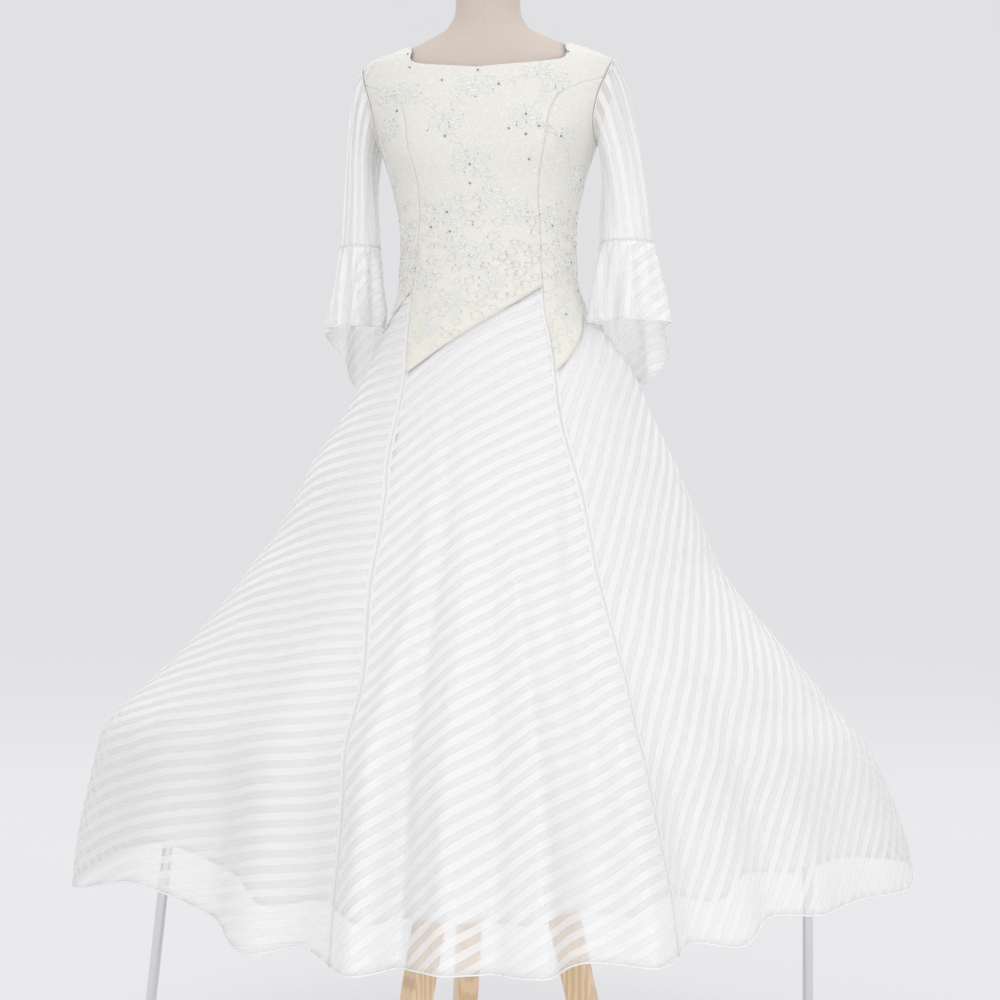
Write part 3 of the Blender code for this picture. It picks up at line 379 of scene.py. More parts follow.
def wrapped(angle):
    """The same angle between -180 and 180."""
    return (angle + 180) % 360 - 180


def turned(x, y, height):
    """World point of a plan point that turns with the body."""
    turn = math.radians(SECTION["turn"](height))
    cos, sin = math.cos(turn), math.sin(turn)
    return Vector((AXIS_X + x * cos - y * sin, AXIS_Y + x * sin + y * cos, height))


def bust(angle, height):
    """How far the bust cups swell outward here."""
    across = (abs(wrapped(angle)) - BUST_ANGLE) / BUST_SPREAD
    up = (height - BUST_HEIGHT) / BUST_TALL
    return BUST_SWELL * math.exp(-across * across - up * up)


def body_point(angle, height):
    """Point of the outer surface of the bodice and of the skirt without its ripples."""
    bearing = math.radians(angle)
    sin, cos = math.sin(bearing), math.cos(bearing)
    side = SECTION["right" if sin > 0 else "left"](height)
    depth = SECTION["front" if cos > 0 else "back"](height)
    share = 1 - PINCH_AT(height) * math.sin(2 * bearing) ** 2
    swell = bust(angle, height)
    return turned((side * share + swell) * sin, -(depth * share + swell) * cos, height)


def body_normal(angle, height):
    """Outward unit normal of the body's surface."""
    across = body_point(angle + 0.5, height) - body_point(angle - 0.5, height)
    up = body_point(angle, height + 0.001) - body_point(angle, height - 0.001)
    return across.cross(up).normalized()


def offset_body(angle, height, outward):
    return body_point(angle, height) + body_normal(angle, height) * outward


def ripple(angle, height, fold_spread=1.0):
    """How far the skirt stands out from its sections here, from hem ripples and the deep fold."""
    angle = wrapped(angle)
    share = (RIPPLE_START - height) / (RIPPLE_START - 0.25)
    out = HEM_AT["ripple"](angle) * max(share, 0.0) ** RIPPLE_POWER
    across = (angle - FOLD_AT["angle"](height)) / (FOLD_AT["half_width"](height) * fold_spread)
    return out - FOLD_AT["depth"](height) * math.exp(-across * across)


def skirt_point(angle, height, inward=0.0, fold_spread=1.0):
    """Point of the skirt's outer surface, or of a surface inside it."""
    point = body_point(angle, height)
    away = Vector((point.x - AXIS_X, point.y - AXIS_Y, 0)).normalized()
    return point + away * (ripple(angle, height, fold_spread) - inward)


def tooth_height(name, share):
    """Height of a gore's top edge at this share of its width, from its left to its right seam."""
    rise = float(np.interp(share, TOOTH_SHARES, TOOTH_RISES[name]))
    return VALLEY_HEIGHT + (PEAK_HEIGHT - VALLEY_HEIGHT) * rise


def neck_corner(side, reach):
    """Angle of the front neck edge for a table angle: the corners lie turned towards the right."""
    angle = reach
    for _ in range(20):
        angle = reach + side * NECK_TURN * math.sin(math.radians(2 * angle))
    return side * angle


def between(edge, place):
    """Point of an edge at a place counted in its own points, such as 2.5."""
    index = min(int(place), len(edge) - 2)
    share = place - index
    return tuple(a + (b - a) * share for a, b in zip(edge[index], edge[index + 1]))


def spread_evenly(grid):
    """Inner points of a grid of (angle, height) moved until no cell folds over (Winslow)."""
    places = np.array(grid, float)
    places[..., 0] *= METRES_A_DEGREE
    for _ in range(SPREAD_STEPS):
        across = (places[1:-1, 2:] - places[1:-1, :-2]) / 2
        along = (places[2:, 1:-1] - places[:-2, 1:-1]) / 2
        corner = (places[2:, 2:] - places[:-2, 2:] - places[2:, :-2] + places[:-2, :-2]) / 4
        alpha = (along**2).sum(-1, keepdims=True)
        beta = (along * across).sum(-1, keepdims=True)
        gamma = (across**2).sum(-1, keepdims=True)
        beside = places[1:-1, 2:] + places[1:-1, :-2]
        above = places[2:, 1:-1] + places[:-2, 1:-1]
        places[1:-1, 1:-1] = (alpha * beside + gamma * above - 2 * beta * corner) / (2 * (alpha + gamma))
    places[..., 0] /= METRES_A_DEGREE
    return [[tuple(point) for point in row] for row in places.tolist()]


def armhole(side, turn):
    """(angle, height) on an armhole's edge: turn 0 at its front, 90 on top, 180 at its back."""
    around = math.radians(turn)
    return (
        side * (90 - ARMHOLE_HALF_ANGLE * math.cos(around)),
        ARMHOLE_HEIGHT + ARMHOLE_HALF_TALL * math.sin(around),
    )


def armhole_turn(height):
    """The turn, from 0 to 90, at which an armhole's front edge has this height."""
    return math.degrees(math.asin(min((height - ARMHOLE_HEIGHT) / ARMHOLE_HALF_TALL, 1.0)))


def tooth_point(name, share):
    """(angle, height) on a gore's top edge at this share of its width."""
    left_seam, right_seam, round_back = GORES[name]
    height = tooth_height(name, share)
    start = SEAMS[left_seam](height)
    end = SEAMS[right_seam](height) + round_back
    return start + (end - start) * share, height


def tooth_share(name, angle):
    """The share of a gore's width at which its top edge has this angle."""
    low, high = 0.0, 1.0
    for _ in range(30):
        middle = (low + high) / 2
        low, high = (middle, high) if tooth_point(name, middle)[0] < angle else (low, middle)
    return low


def sleeve_line(name, turn, share):
    """Point of a sleeve's outer surface: turn 0 at its front, 90 outside, share 0 at the cap."""
    side, x, y, half_wide, half_deep, outward = SLEEVES[name]
    around = math.radians(turn)
    sin, cos = math.sin(around), math.cos(around)
    start = offset_body(*armhole(side, turn), SLEEVE_LAP)
    end = Vector((AXIS_X + x + side * half_wide * sin, AXIS_Y + y - half_deep * cos, SLEEVE_SEAM_HEIGHT))
    leave = Vector((side * outward * (0.75 + 0.25 * sin), -0.055 * cos, -0.12 + 0.02 * sin))
    arrive = Vector((side * 0.010 * (1 + sin), 0, -0.20))
    rest = 1 - share
    point = (
        start * (rest * rest * (1 + 2 * share))
        + leave * (share * rest * rest)
        + end * (share * share * (3 - 2 * share))
        - arrive * (share * share * rest)
    )
    crest = max(sin + 0.15, 0.0) * smoothstep(share * 8) * (1 - smoothstep((share - 0.12) / 0.45))
    wave = math.cos(around * GATHERS_IN_CAP * 2)
    return point + Vector((side * sin, -cos, 0)) * (GATHER_DEPTH * crest * wave)


def clear_of_skirt(point):
    """The point, moved out where it would come too near the skirt."""
    height = point.z
    turn = -math.radians(SECTION["turn"](height))
    x, y = point.x - AXIS_X, point.y - AXIS_Y
    x, y = x * math.cos(turn) - y * math.sin(turn), x * math.sin(turn) + y * math.cos(turn)
    side = SECTION["right" if x > 0 else "left"](height)
    depth = SECTION["front" if y < 0 else "back"](height)
    reach = math.hypot(x / side, y / depth)
    least = 1 + (FLOUNCE_CLEARANCE + SHEER_WALL) / side
    grow = max(1.0, least / reach)
    return turned(x * grow, y * grow, height)


# Extra soft folds of the skirt: where they start, how deep they are at the hem, half width in degrees
SOFT_FOLD_COLUMNS = ("angle", "start", "depth", "half_width")
SOFT_FOLDS = (
    (-15.5, 1.00, 0.020, 2.2),
    (-11.0, 1.00, -0.026, 1.8),
    (-5.0, 0.94, 0.024, 2.2),
    (1.0, 0.92, -0.022, 2.0),
    (6.8, 0.96, 0.024, 2.0),
    (19.5, 0.78, 0.016, 2.2),
    (-30.0, 0.62, -0.005, 3.0),
    (-44.0, 0.52, -0.007, 4.2),
    (-58.0, 0.50, 0.006, 4.6),
    (-76.0, 0.46, -0.004, 5.0),
    (35.0, 0.72, -0.008, 3.2),
    (47.0, 0.64, 0.007, 3.4),
    (58.0, 0.56, -0.006, 3.8),
    (71.0, 0.50, 0.005, 4.4),
    (104.0, 0.58, -0.007, 4.5),
    (126.0, 0.60, 0.006, 4.2),
    (146.0, 0.66, -0.008, 4.2),
    (163.0, 0.60, 0.006, 3.8),
    (178.0, 0.68, -0.009, 4.0),
    (-166.0, 0.60, 0.006, 3.8),
    (-152.0, 0.66, -0.007, 4.0),
    (-131.0, 0.58, 0.006, 4.4),
    (-108.0, 0.56, -0.006, 4.4),
)

# Lace flowers on the front: angle, height, width in millimetres
FLOWER_COLUMNS = ("angle", "height", "wide_mm")
FLOWERS = (
    (-13.5, 1.3794, 36),
    (-2.0, 1.3181, 42),
    (24.4, 1.3807, 36),
    (0.7, 1.4305, 34),
    (-33.0, 1.4256, 38),
    (-51.0, 1.4241, 30),
    (-47.0, 1.3764, 36),
    (27.0, 1.4530, 30),
    (36.5, 1.4350, 34),
    (47.6, 1.3525, 36),
    (-19.0, 1.2475, 38),
    (25.5, 1.2457, 40),
    (-17.1, 1.2080, 32),
    (-0.8, 1.1834, 46),
    (12.6, 1.1450, 34),
    (53.7, 1.2293, 32),
    (-13.2, 1.1136, 42),
    (-24.5, 1.0800, 34),
    (-33.0, 1.1501, 34),
    (55.2, 1.0960, 38),
    (9.0, 1.2700, 30),
    (62.0, 1.1700, 34),
    (-62.0, 1.2300, 34),
    (-66.0, 1.3100, 34),
    (68.0, 1.3000, 34),
    (-58.0, 1.1800, 28),
)
STONE_COLUMNS = ("angle", "height")
STONES = (
    (-37.8, 1.4868),
    (-31.9, 1.4640),
    (0.7, 1.4523),
    (-15.1, 1.4395),
    (10.3, 1.4296),
    (0.3, 1.4123),
    (44.3, 1.4829),
    (-40.1, 1.3984),
    (-23.1, 1.3653),
    (-14.5, 1.3546),
    (24.3, 1.3836),
    (17.0, 1.3632),
    (31.2, 1.3661),
    (25.4, 1.3542),
    (29.3, 1.3197),
    (44.4, 1.3539),
    (-2.7, 1.3139),
    (-3.2, 1.2873),
    (-19.0, 1.2475),
    (32.9, 1.2460),
    (-31.6, 1.2277),
    (-17.1, 1.2191),
    (52.7, 1.2280),
    (-1.4, 1.1819),
    (-0.4, 1.1526),
    (55.4, 1.0976),
    (84.0, 1.1366),
)

CAMERA_PLACE = (AXIS_X + 0.018, -3.0, 0.8275)
CAMERA_LENS = 72.0
SENSOR = 36.0


class DressSizes(bpy.types.PropertyGroup):
    """Sizes of the cloth and its trimmings."""

    cloth: bpy.props.FloatProperty(
        name="Organza", description="Thickness of the striped cloth", default=0.0004, unit="LENGTH"
    )
    lace: bpy.props.FloatProperty(
        name="Lace", description="Thickness of the lined lace", default=0.0010, unit="LENGTH"
    )
    stripe: bpy.props.FloatProperty(
        name="Stripe", description="Width of a satin and a sheer stripe together", default=0.020, unit="LENGTH"
    )
    satin_share: bpy.props.FloatProperty(
        name="Satin share", description="Share of a stripe that is satin", default=0.5, subtype="FACTOR"
    )
    seam_band: bpy.props.FloatProperty(
        name="Seam band", description="Seam allowance that shows through", default=0.0065, unit="LENGTH"
    )
    lace_cord: bpy.props.FloatProperty(
        name="Lace cord", description="Radius of the lace's raised cord", default=0.0007, unit="LENGTH"
    )
    stone: bpy.props.FloatProperty(
        name="Stone", description="Radius of a stone", default=0.0018, unit="LENGTH"
    )
    hem_cord: bpy.props.FloatProperty(
        name="Hem cord", description="Radius of the rolled hem", default=0.0011, unit="LENGTH"
    )


class DressColours(bpy.types.PropertyGroup):
    """Colours of the cloth, the form and the stands."""

    ivory: bpy.props.FloatVectorProperty(
        name="Ivory", description="Raised threads of the lace ground", default=(0.84, 0.825, 0.77), subtype="COLOR"
    )
    net: bpy.props.FloatVectorProperty(
        name="Net", description="Open net between the threads", default=(0.765, 0.752, 0.695), subtype="COLOR"
    )
    warm: bpy.props.FloatVectorProperty(
        name="Warm", description="Yellower lace near the lower edge", default=(0.86, 0.835, 0.73), subtype="COLOR"
    )
    # Petal: grey of the petal specks, painted shade of the net's holes
    petal: bpy.props.FloatVectorProperty(
        name="Petal", description="Cool specks inside the petals", default=(0.73, 0.735, 0.69), subtype="COLOR"
    )
    lace: bpy.props.FloatVectorProperty(
        name="Lace", description="Lace cord", default=(0.97, 0.96, 0.93), subtype="COLOR"
    )
    satin: bpy.props.FloatVectorProperty(
        name="Satin", description="Satin stripe", default=(0.955, 0.95, 0.945), subtype="COLOR"
    )
    sheer: bpy.props.FloatVectorProperty(
        name="Sheer", description="Sheer stripe", default=(0.96, 0.955, 0.955), subtype="COLOR"
    )
    lining: bpy.props.FloatVectorProperty(
        name="Lining", description="Underskirt", default=(0.965, 0.96, 0.96), subtype="COLOR"
    )
    linen: bpy.props.FloatVectorProperty(
        name="Linen", description="Cover of the form", default=(0.65, 0.56, 0.50), subtype="COLOR"
    )
    pine: bpy.props.FloatVectorProperty(
        name="Pine", description="Wood of the stand", default=(0.92, 0.69, 0.46), subtype="COLOR"
    )


def sizes():
    return bpy.context.scene.dress_sizes


def colours():
    return bpy.context.scene.dress_colours


# Nodes of the materials


def node(tree, kind, x, y, **settings):
    made = tree.nodes.new(kind)
    made.location = (x, y)
    for name, value in settings.items():
        setattr(made, name, value)
    return made


def math_node(tree, operation, first, second, x, y):
    """Math node whose inputs are sockets or numbers."""
    made = node(tree, "ShaderNodeMath", x, y, operation=operation)
    for i, value in enumerate((first, second)):
        if isinstance(value, bpy.types.NodeSocket):
            tree.links.new(value, made.inputs[i])
        elif value is not None:
            made.inputs[i].default_value = value
    return made.outputs[0]


def mix_colours(tree, share, first, second, x, y):
    """Colour mix whose colours are sockets or triples."""
    made = node(tree, "ShaderNodeMix", x, y, data_type="RGBA")
    for socket, value in ((made.inputs["Factor"], share), (made.inputs[6], first), (made.inputs[7], second)):
        if isinstance(value, bpy.types.NodeSocket):
            tree.links.new(value, socket)
        elif isinstance(value, float):
            socket.default_value = value
        else:
            socket.default_value = (*value, 1.0)
    return made.outputs[2]


def group_named(name, inputs, outputs, fill):
    """Shader node group with these float or colour sockets, built once."""
    found = bpy.data.node_groups.get(name)
    if found:
        return found
    made = bpy.data.node_groups.new(name, "ShaderNodeTree")
    for label, kind, value in inputs:
        socket = made.interface.new_socket(label, in_out="INPUT", socket_type=kind)
        if value is not None:
            socket.default_value = value
    for label, kind in outputs:
        made.interface.new_socket(label, in_out="OUTPUT", socket_type=kind)
    source = node(made, "NodeGroupInput", -900, 0)
    target = node(made, "NodeGroupOutput", 600, 0)
    fill(made, source, target)
    return made


def fill_weave(tree, source, target):
    """Plain weave: two crossed waves of thread, with slubs."""
    waves = []
    for i, direction in enumerate(("X", "Z")):
        wave = node(tree, "ShaderNodeTexWave", -600, -200 * i, bands_direction=direction, wave_profile="SIN")
        tree.links.new(source.outputs["Vector"], wave.inputs["Vector"])
        tree.links.new(source.outputs["Threads"], wave.inputs["Scale"])
        wave.inputs["Distortion"].default_value = 0.6
        wave.inputs["Detail"].default_value = 1.0
        waves.append(wave.outputs["Fac"])
    slub = node(tree, "ShaderNodeTexNoise", -600, -420)
    tree.links.new(source.outputs["Vector"], slub.inputs["Vector"])
    slub.inputs["Scale"].default_value = 90.0
    slub.inputs["Detail"].default_value = 2.0
    crossed = math_node(tree, "MAXIMUM", waves[0], waves[1], -300, 0)
    height = math_node(tree, "ADD", crossed, slub.outputs["Fac"], -100, 0)
    tree.links.new(height, target.inputs["Height"])
    tree.links.new(slub.outputs["Fac"], target.inputs["Slub"])


def weave_group():
    return group_named(
        "plain_weave",
        (("Vector", "NodeSocketVector", None), ("Threads", "NodeSocketFloat", 300.0)),
        (("Height", "NodeSocketFloat"), ("Slub", "NodeSocketFloat")),
        fill_weave,
    )


def fresh_material(name, roughness, metallic=0.0):
    """New material, its tree, its Principled shader and Object coordinates."""
    made = bpy.data.materials.new(name)
    made.use_nodes = True
    tree = made.node_tree
    shader = tree.nodes["Principled BSDF"]
    shader.inputs["Roughness"].default_value = roughness
    shader.inputs["Metallic"].default_value = metallic
    place = node(tree, "ShaderNodeTexCoord", -1300, 0)
    return made, tree, shader, place.outputs["Object"]


def bump(tree, height, strength, distance, shader):
    made = node(tree, "ShaderNodeBump", -300, -400)
    made.inputs["Strength"].default_value = strength
    made.inputs["Distance"].default_value = distance
    tree.links.new(height, made.inputs["Height"])
    tree.links.new(made.outputs["Normal"], shader.inputs["Normal"])


def woven(tree, vector, threads):
    made = node(tree, "ShaderNodeGroup", -900, -300, node_tree=weave_group())
    tree.links.new(vector, made.inputs["Vector"])
    made.inputs["Threads"].default_value = threads
    return made


def noise(tree, vector, scale, detail, x, y):
    made = node(tree, "ShaderNodeTexNoise", x, y)
    tree.links.new(vector, made.inputs["Vector"])
    made.inputs["Scale"].default_value = scale
    made.inputs["Detail"].default_value = detail
    return made.outputs["Fac"]


def ramp(tree, value, low, high, x, y):
    """0 below low, 1 above high, smooth between."""
    made = node(tree, "ShaderNodeMapRange", x, y, interpolation_type="SMOOTHSTEP")
    made.inputs["From Min"].default_value = low
    made.inputs["From Max"].default_value = high
    tree.links.new(value, made.inputs["Value"])
    return made.outputs["Result"]


def cloth_alpha(tree, alpha, share, shader):
    """Alpha for the eye; shadow and scattered rays meet only a share of it, for the light the cloth passes on."""
    path = node(tree, "ShaderNodeLightPath", -700, 700)
    light = math_node(tree, "MAXIMUM", path.outputs["Is Shadow Ray"], path.outputs["Is Diffuse Ray"], -500, 700)
    kept = math_node(tree, "SUBTRACT", 1.0, math_node(tree, "MULTIPLY", light, 1 - share, -320, 700), -160, 700)
    tree.links.new(math_node(tree, "MULTIPLY", alpha, kept, -20, 640), shader.inputs["Alpha"])


def threads(tree, across, along, period, x, y):
    """Height of a plain weave from two lengths in metres."""
    turns = math.tau / period
    first = math_node(tree, "SINE", math_node(tree, "MULTIPLY", across, turns, x, y), None, x + 150, y)
    second = math_node(tree, "SINE", math_node(tree, "MULTIPLY", along, turns, x, y - 160), None, x + 150, y - 160)
    return math_node(tree, "MAXIMUM", first, second, x + 300, y)


def striped_organza():
    """Sheer organza with satin stripes, denser where a seam allowance lies behind it."""
    found = bpy.data.materials.get("striped_organza")
    if found:
        return found
    made, tree, shader, place = fresh_material("striped_organza", 0.42)
    shader.inputs["Sheen Weight"].default_value = 0.2
    weave_map = node(tree, "ShaderNodeUVMap", -1300, 300, uv_map="weave")
    split = node(tree, "ShaderNodeSeparateXYZ", -1100, 300)
    tree.links.new(weave_map.outputs["UV"], split.inputs[0])
    turn = math_node(tree, "MULTIPLY", split.outputs["X"], math.tau / sizes().stripe, -780, 400)
    wave = math_node(tree, "SINE", turn, None, -620, 400)
    centre = math.cos(math.pi * sizes().satin_share)
    satin = ramp(tree, wave, centre - 0.2, centre + 0.2, -460, 400)
    edges_map = node(tree, "ShaderNodeUVMap", -1300, 100, uv_map="edges")
    edges = node(tree, "ShaderNodeSeparateXYZ", -1100, 100)
    tree.links.new(edges_map.outputs["UV"], edges.inputs[0])
    band = sizes().seam_band
    seam = math_node(tree, "SUBTRACT", 1.0, ramp(tree, edges.outputs["X"], band * 0.85, band, -900, 120), -700, 120)
    solid = math_node(tree, "MAXIMUM", satin, seam, -300, 300)
    colour = mix_colours(tree, solid, tuple(colours().sheer), tuple(colours().satin), -120, 160)
    tree.links.new(colour, shader.inputs["Base Color"])
    alpha = node(tree, "ShaderNodeMapRange", -300, 480)
    tree.links.new(solid, alpha.inputs["Value"])
    alpha.inputs["To Min"].default_value = 0.30
    alpha.inputs["To Max"].default_value = 0.60
    cloth_alpha(tree, alpha.outputs["Result"], 0.22, shader)
    gloss = node(tree, "ShaderNodeMapRange", -120, -100)
    tree.links.new(satin, gloss.inputs["Value"])
    gloss.inputs["To Min"].default_value = 0.62
    gloss.inputs["To Max"].default_value = 0.30
    tree.links.new(gloss.outputs["Result"], shader.inputs["Roughness"])
    weave = threads(tree, split.outputs["X"], split.outputs["Y"], 0.0009, -900, -260)
    relief = math_node(tree, "MULTIPLY", weave, 0.12, -600, -260)
    bump(tree, math_node(tree, "ADD", relief, solid, -400, -300), 0.5, 0.0012, shader)
    return made


def lining_cloth():
    found = bpy.data.materials.get("soft_lining")
    if found:
        return found
    made, tree, shader, place = fresh_material("soft_lining", 0.65)
    mottled = noise(tree, place, 40.0, 0.0, -900, 0)
    colour = mix_colours(tree, mottled, tuple(colours().lining), tuple(c * 0.975 for c in colours().lining), -300, 100)
    tree.links.new(colour, shader.inputs["Base Color"])
    cloth_alpha(tree, 0.86, 1.2, shader)
    return made


def lined_lace():
    """Ivory net over a matching lining: fine mesh and faint figured patches, yellower low down."""
    found = bpy.data.materials.get("lined_lace")
    if found:
        return found
    made, tree, shader, place = fresh_material("lined_lace", 0.68)
    figures = node(tree, "ShaderNodeTexVoronoi", -900, -60, feature="F1")
    tree.links.new(place, figures.inputs["Vector"])
    figures.inputs["Scale"].default_value = 85.0
    figures.inputs["Randomness"].default_value = 0.9
    turned_on = math_node(tree, "MULTIPLY", figures.outputs["Distance"], 16.0, -700, -60)
    rings = math_node(tree, "SINE", turned_on, None, -560, -60)
    drawn = ramp(tree, rings, 0.1, 0.7, -420, -60)
    grain = noise(tree, place, 700.0, 1.0, -900, 200)
    speck = ramp(tree, grain, 0.42, 0.62, -700, 200)
    laid = math_node(tree, "ADD", math_node(tree, "MULTIPLY", drawn, 0.55, -300, -60), math_node(tree, "MULTIPLY", speck, 0.45, -400, 200), -260, 120)
    upper = mix_colours(tree, laid, tuple(colours().net), tuple(colours().ivory), -200, 160)
    level = node(tree, "ShaderNodeSeparateXYZ", -900, 420)
    tree.links.new(place, level.inputs[0])
    low = math_node(tree, "SUBTRACT", 1.0, ramp(tree, level.outputs["Z"], 1.08, 1.30, -700, 420), -500, 420)
    warm = mix_colours(tree, math_node(tree, "MULTIPLY", low, 0.55, -360, 420), upper, tuple(colours().warm), -60, 260)
    tree.links.new(warm, shader.inputs["Base Color"])
    shader.inputs["Sheen Weight"].default_value = 0.1
    bump(tree, laid, 0.6, 0.0005, shader)
    return made


def petal_net_and_shade():
    """Denser net inside the petals, speckled with cool grey that is painted shade of the net's holes."""
    found = bpy.data.materials.get("petal_net_and_shade")
    if found:
        return found
    made, tree, shader, place = fresh_material("petal_net_and_shade", 0.6)
    # The grey specks are painted shade of the net's holes; the patches themselves are real denser net
    grain = ramp(tree, noise(tree, place, 480.0, 1.0, -900, 0), 0.44, 0.66, -700, 0)
    colour = mix_colours(tree, grain, tuple(colours().petal), tuple(colours().ivory), -300, 0)
    tree.links.new(colour, shader.inputs["Base Color"])
    bump(tree, grain, 0.5, 0.0004, shader)
    return made


def lace_cord():
    found = bpy.data.materials.get("lace_cord")
    if found:
        return found
    made, tree, shader, place = fresh_material("lace_cord", 0.5)
    shade = noise(tree, place, 160.0, 2.0, -700, 100)
    colour = mix_colours(tree, shade, tuple(colours().lace), tuple(c * 0.93 for c in colours().lace), -300, 100)
    tree.links.new(colour, shader.inputs["Base Color"])
    bump(tree, noise(tree, place, 2600.0, 1.0, -700, -300), 0.4, 0.0002, shader)
    return made


def linen_cover():
    found = bpy.data.materials.get("linen_cover")
    if found:
        return found
    made, tree, shader, place = fresh_material("linen_cover", 0.85)
    thread = woven(tree, place, 260.0)
    broad = noise(tree, place, 9.0, 2.0, -900, 200)
    dark = tuple(c * 0.94 for c in colours().linen)
    toned = mix_colours(tree, thread.outputs["Slub"], tuple(colours().linen), dark, -500, 100)
    colour = mix_colours(tree, broad, toned, tuple(min(c * 1.03, 1.0) for c in colours().linen), -300, 100)
    tree.links.new(colour, shader.inputs["Base Color"])
    bump(tree, thread.outputs["Height"], 0.5, 0.0005, shader)
    return made


def pine_wood():
    found = bpy.data.materials.get("varnished_pine")
    if found:
        return found
    made, tree, shader, place = fresh_material("varnished_pine", 0.38)
    stretch = node(tree, "ShaderNodeMapping", -1100, 0)
    stretch.inputs["Scale"].default_value = (1.0, 1.0, 0.08)
    tree.links.new(place, stretch.inputs["Vector"])
    rings = node(tree, "ShaderNodeTexWave", -900, 0, wave_type="RINGS", rings_direction="Z")
    tree.links.new(stretch.outputs["Vector"], rings.inputs["Vector"])
    rings.inputs["Scale"].default_value = 34.0
    rings.inputs["Distortion"].default_value = 5.0
    rings.inputs["Detail"].default_value = 2.5
    rings.inputs["Detail Scale"].default_value = 2.0
    fibre = noise(tree, stretch.outputs["Vector"], 420.0, 3.0, -900, -260)
    light = tuple(min(c * 1.08, 1.0) for c in colours().pine)
    dark = (colours().pine[0] * 0.88, colours().pine[1] * 0.80, colours().pine[2] * 0.70)
    base = mix_colours(tree, ramp(tree, rings.outputs["Fac"], 0.2, 0.9, -700, 0), light, dark, -500, 0)
    colour = mix_colours(tree, math_node(tree, "MULTIPLY", fibre, 0.5, -500, -260), base, tuple(colours().pine), -300, 0)
    tree.links.new(colour, shader.inputs["Base Color"])
    shader.inputs["Coat Weight"].default_value = 0.25
    shader.inputs["Coat Roughness"].default_value = 0.2
    bump(tree, fibre, 0.2, 0.0004, shader)
    return made


def metal(name, colour, roughness):
    """Polished metal with faint wipe marks."""
    found = bpy.data.materials.get(name)
    if found:
        return found
    made, tree, shader, place = fresh_material(name, roughness, 1.0)
    marks = noise(tree, place, 60.0, 4.0, -700, 0)
    worn = node(tree, "ShaderNodeMapRange", -400, -100)
    tree.links.new(marks, worn.inputs["Value"])
    worn.inputs["To Min"].default_value = roughness * 0.7
    worn.inputs["To Max"].default_value = roughness * 1.5
    tree.links.new(worn.outputs["Result"], shader.inputs["Roughness"])
    tone = mix_colours(tree, marks, colour, tuple(c * 0.92 for c in colour), -300, 100)
    tree.links.new(tone, shader.inputs["Base Color"])
    return made


# Meshes


def link(made):
    bpy.context.scene.collection.objects.link(made)
    return made


def surface_object(name, rows, closed, look, thickness):
    """Thin cloth shell whose outer side goes through rows of points, top row first."""
    points = np.array(rows, dtype=float)
    row_count, column_count = points.shape[:2]
    cells = column_count if closed else column_count - 1
    faces = []
    for i in range(row_count - 1):
        for j in range(cells):
            k = (j + 1) % column_count
            upper, lower = i * column_count, (i + 1) * column_count
            faces.append((upper + j, lower + j, lower + k, upper + k))
    mesh = bpy.data.meshes.new(name)
    mesh.from_pydata(points.reshape(-1, 3).tolist(), [], faces)
    mesh.shade_smooth()
    made = link(bpy.data.objects.new(name, mesh))
    mesh.materials.append(look)
    wall = made.modifiers.new("thickness", "SOLIDIFY")
    wall.thickness = thickness
    wall.offset = -1.0
    return made


def add_map(made, name, values, columns, closed):
    """UV map from a grid of pairs; a closed grid's last cell runs on past the seam."""
    layer = made.data.uv_layers.new(name=name)
    values = np.array(values, dtype=float)
    flat = []
    for face in made.data.polygons:
        spots = [(vertex // columns, vertex % columns) for vertex in face.vertices]
        past = closed and any(j == columns - 1 for _, j in spots)
        for i, j in spots:
            flat.extend(values[i, j + columns if past and j == 0 and closed and values.shape[1] > columns else j])
    layer.data.foreach_set("uv", flat)


def apply_modifiers(made):
    bpy.ops.object.select_all(action="DESELECT")
    bpy.context.view_layer.objects.active = made
    made.select_set(True)
    for modifier in list(made.modifiers):
        bpy.ops.object.modifier_apply(modifier=modifier.name)
    made.select_set(False)


def surface_area(rows, closed=False):
    points = np.array(rows, dtype=float)
    if closed:
        points = np.concatenate([points, points[:, :1]], axis=1)
    a, b, c, d = points[:-1, :-1], points[1:, :-1], points[1:, 1:], points[:-1, 1:]
    first = np.linalg.norm(np.cross(b - a, c - a), axis=-1)
    second = np.linalg.norm(np.cross(c - a, d - a), axis=-1)
    return float((first.sum() + second.sum()) / 2)


def finish_piece(made, slot, *nodes):
    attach(made, BODY)
    if nodes:
        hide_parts(*nodes)
    return made


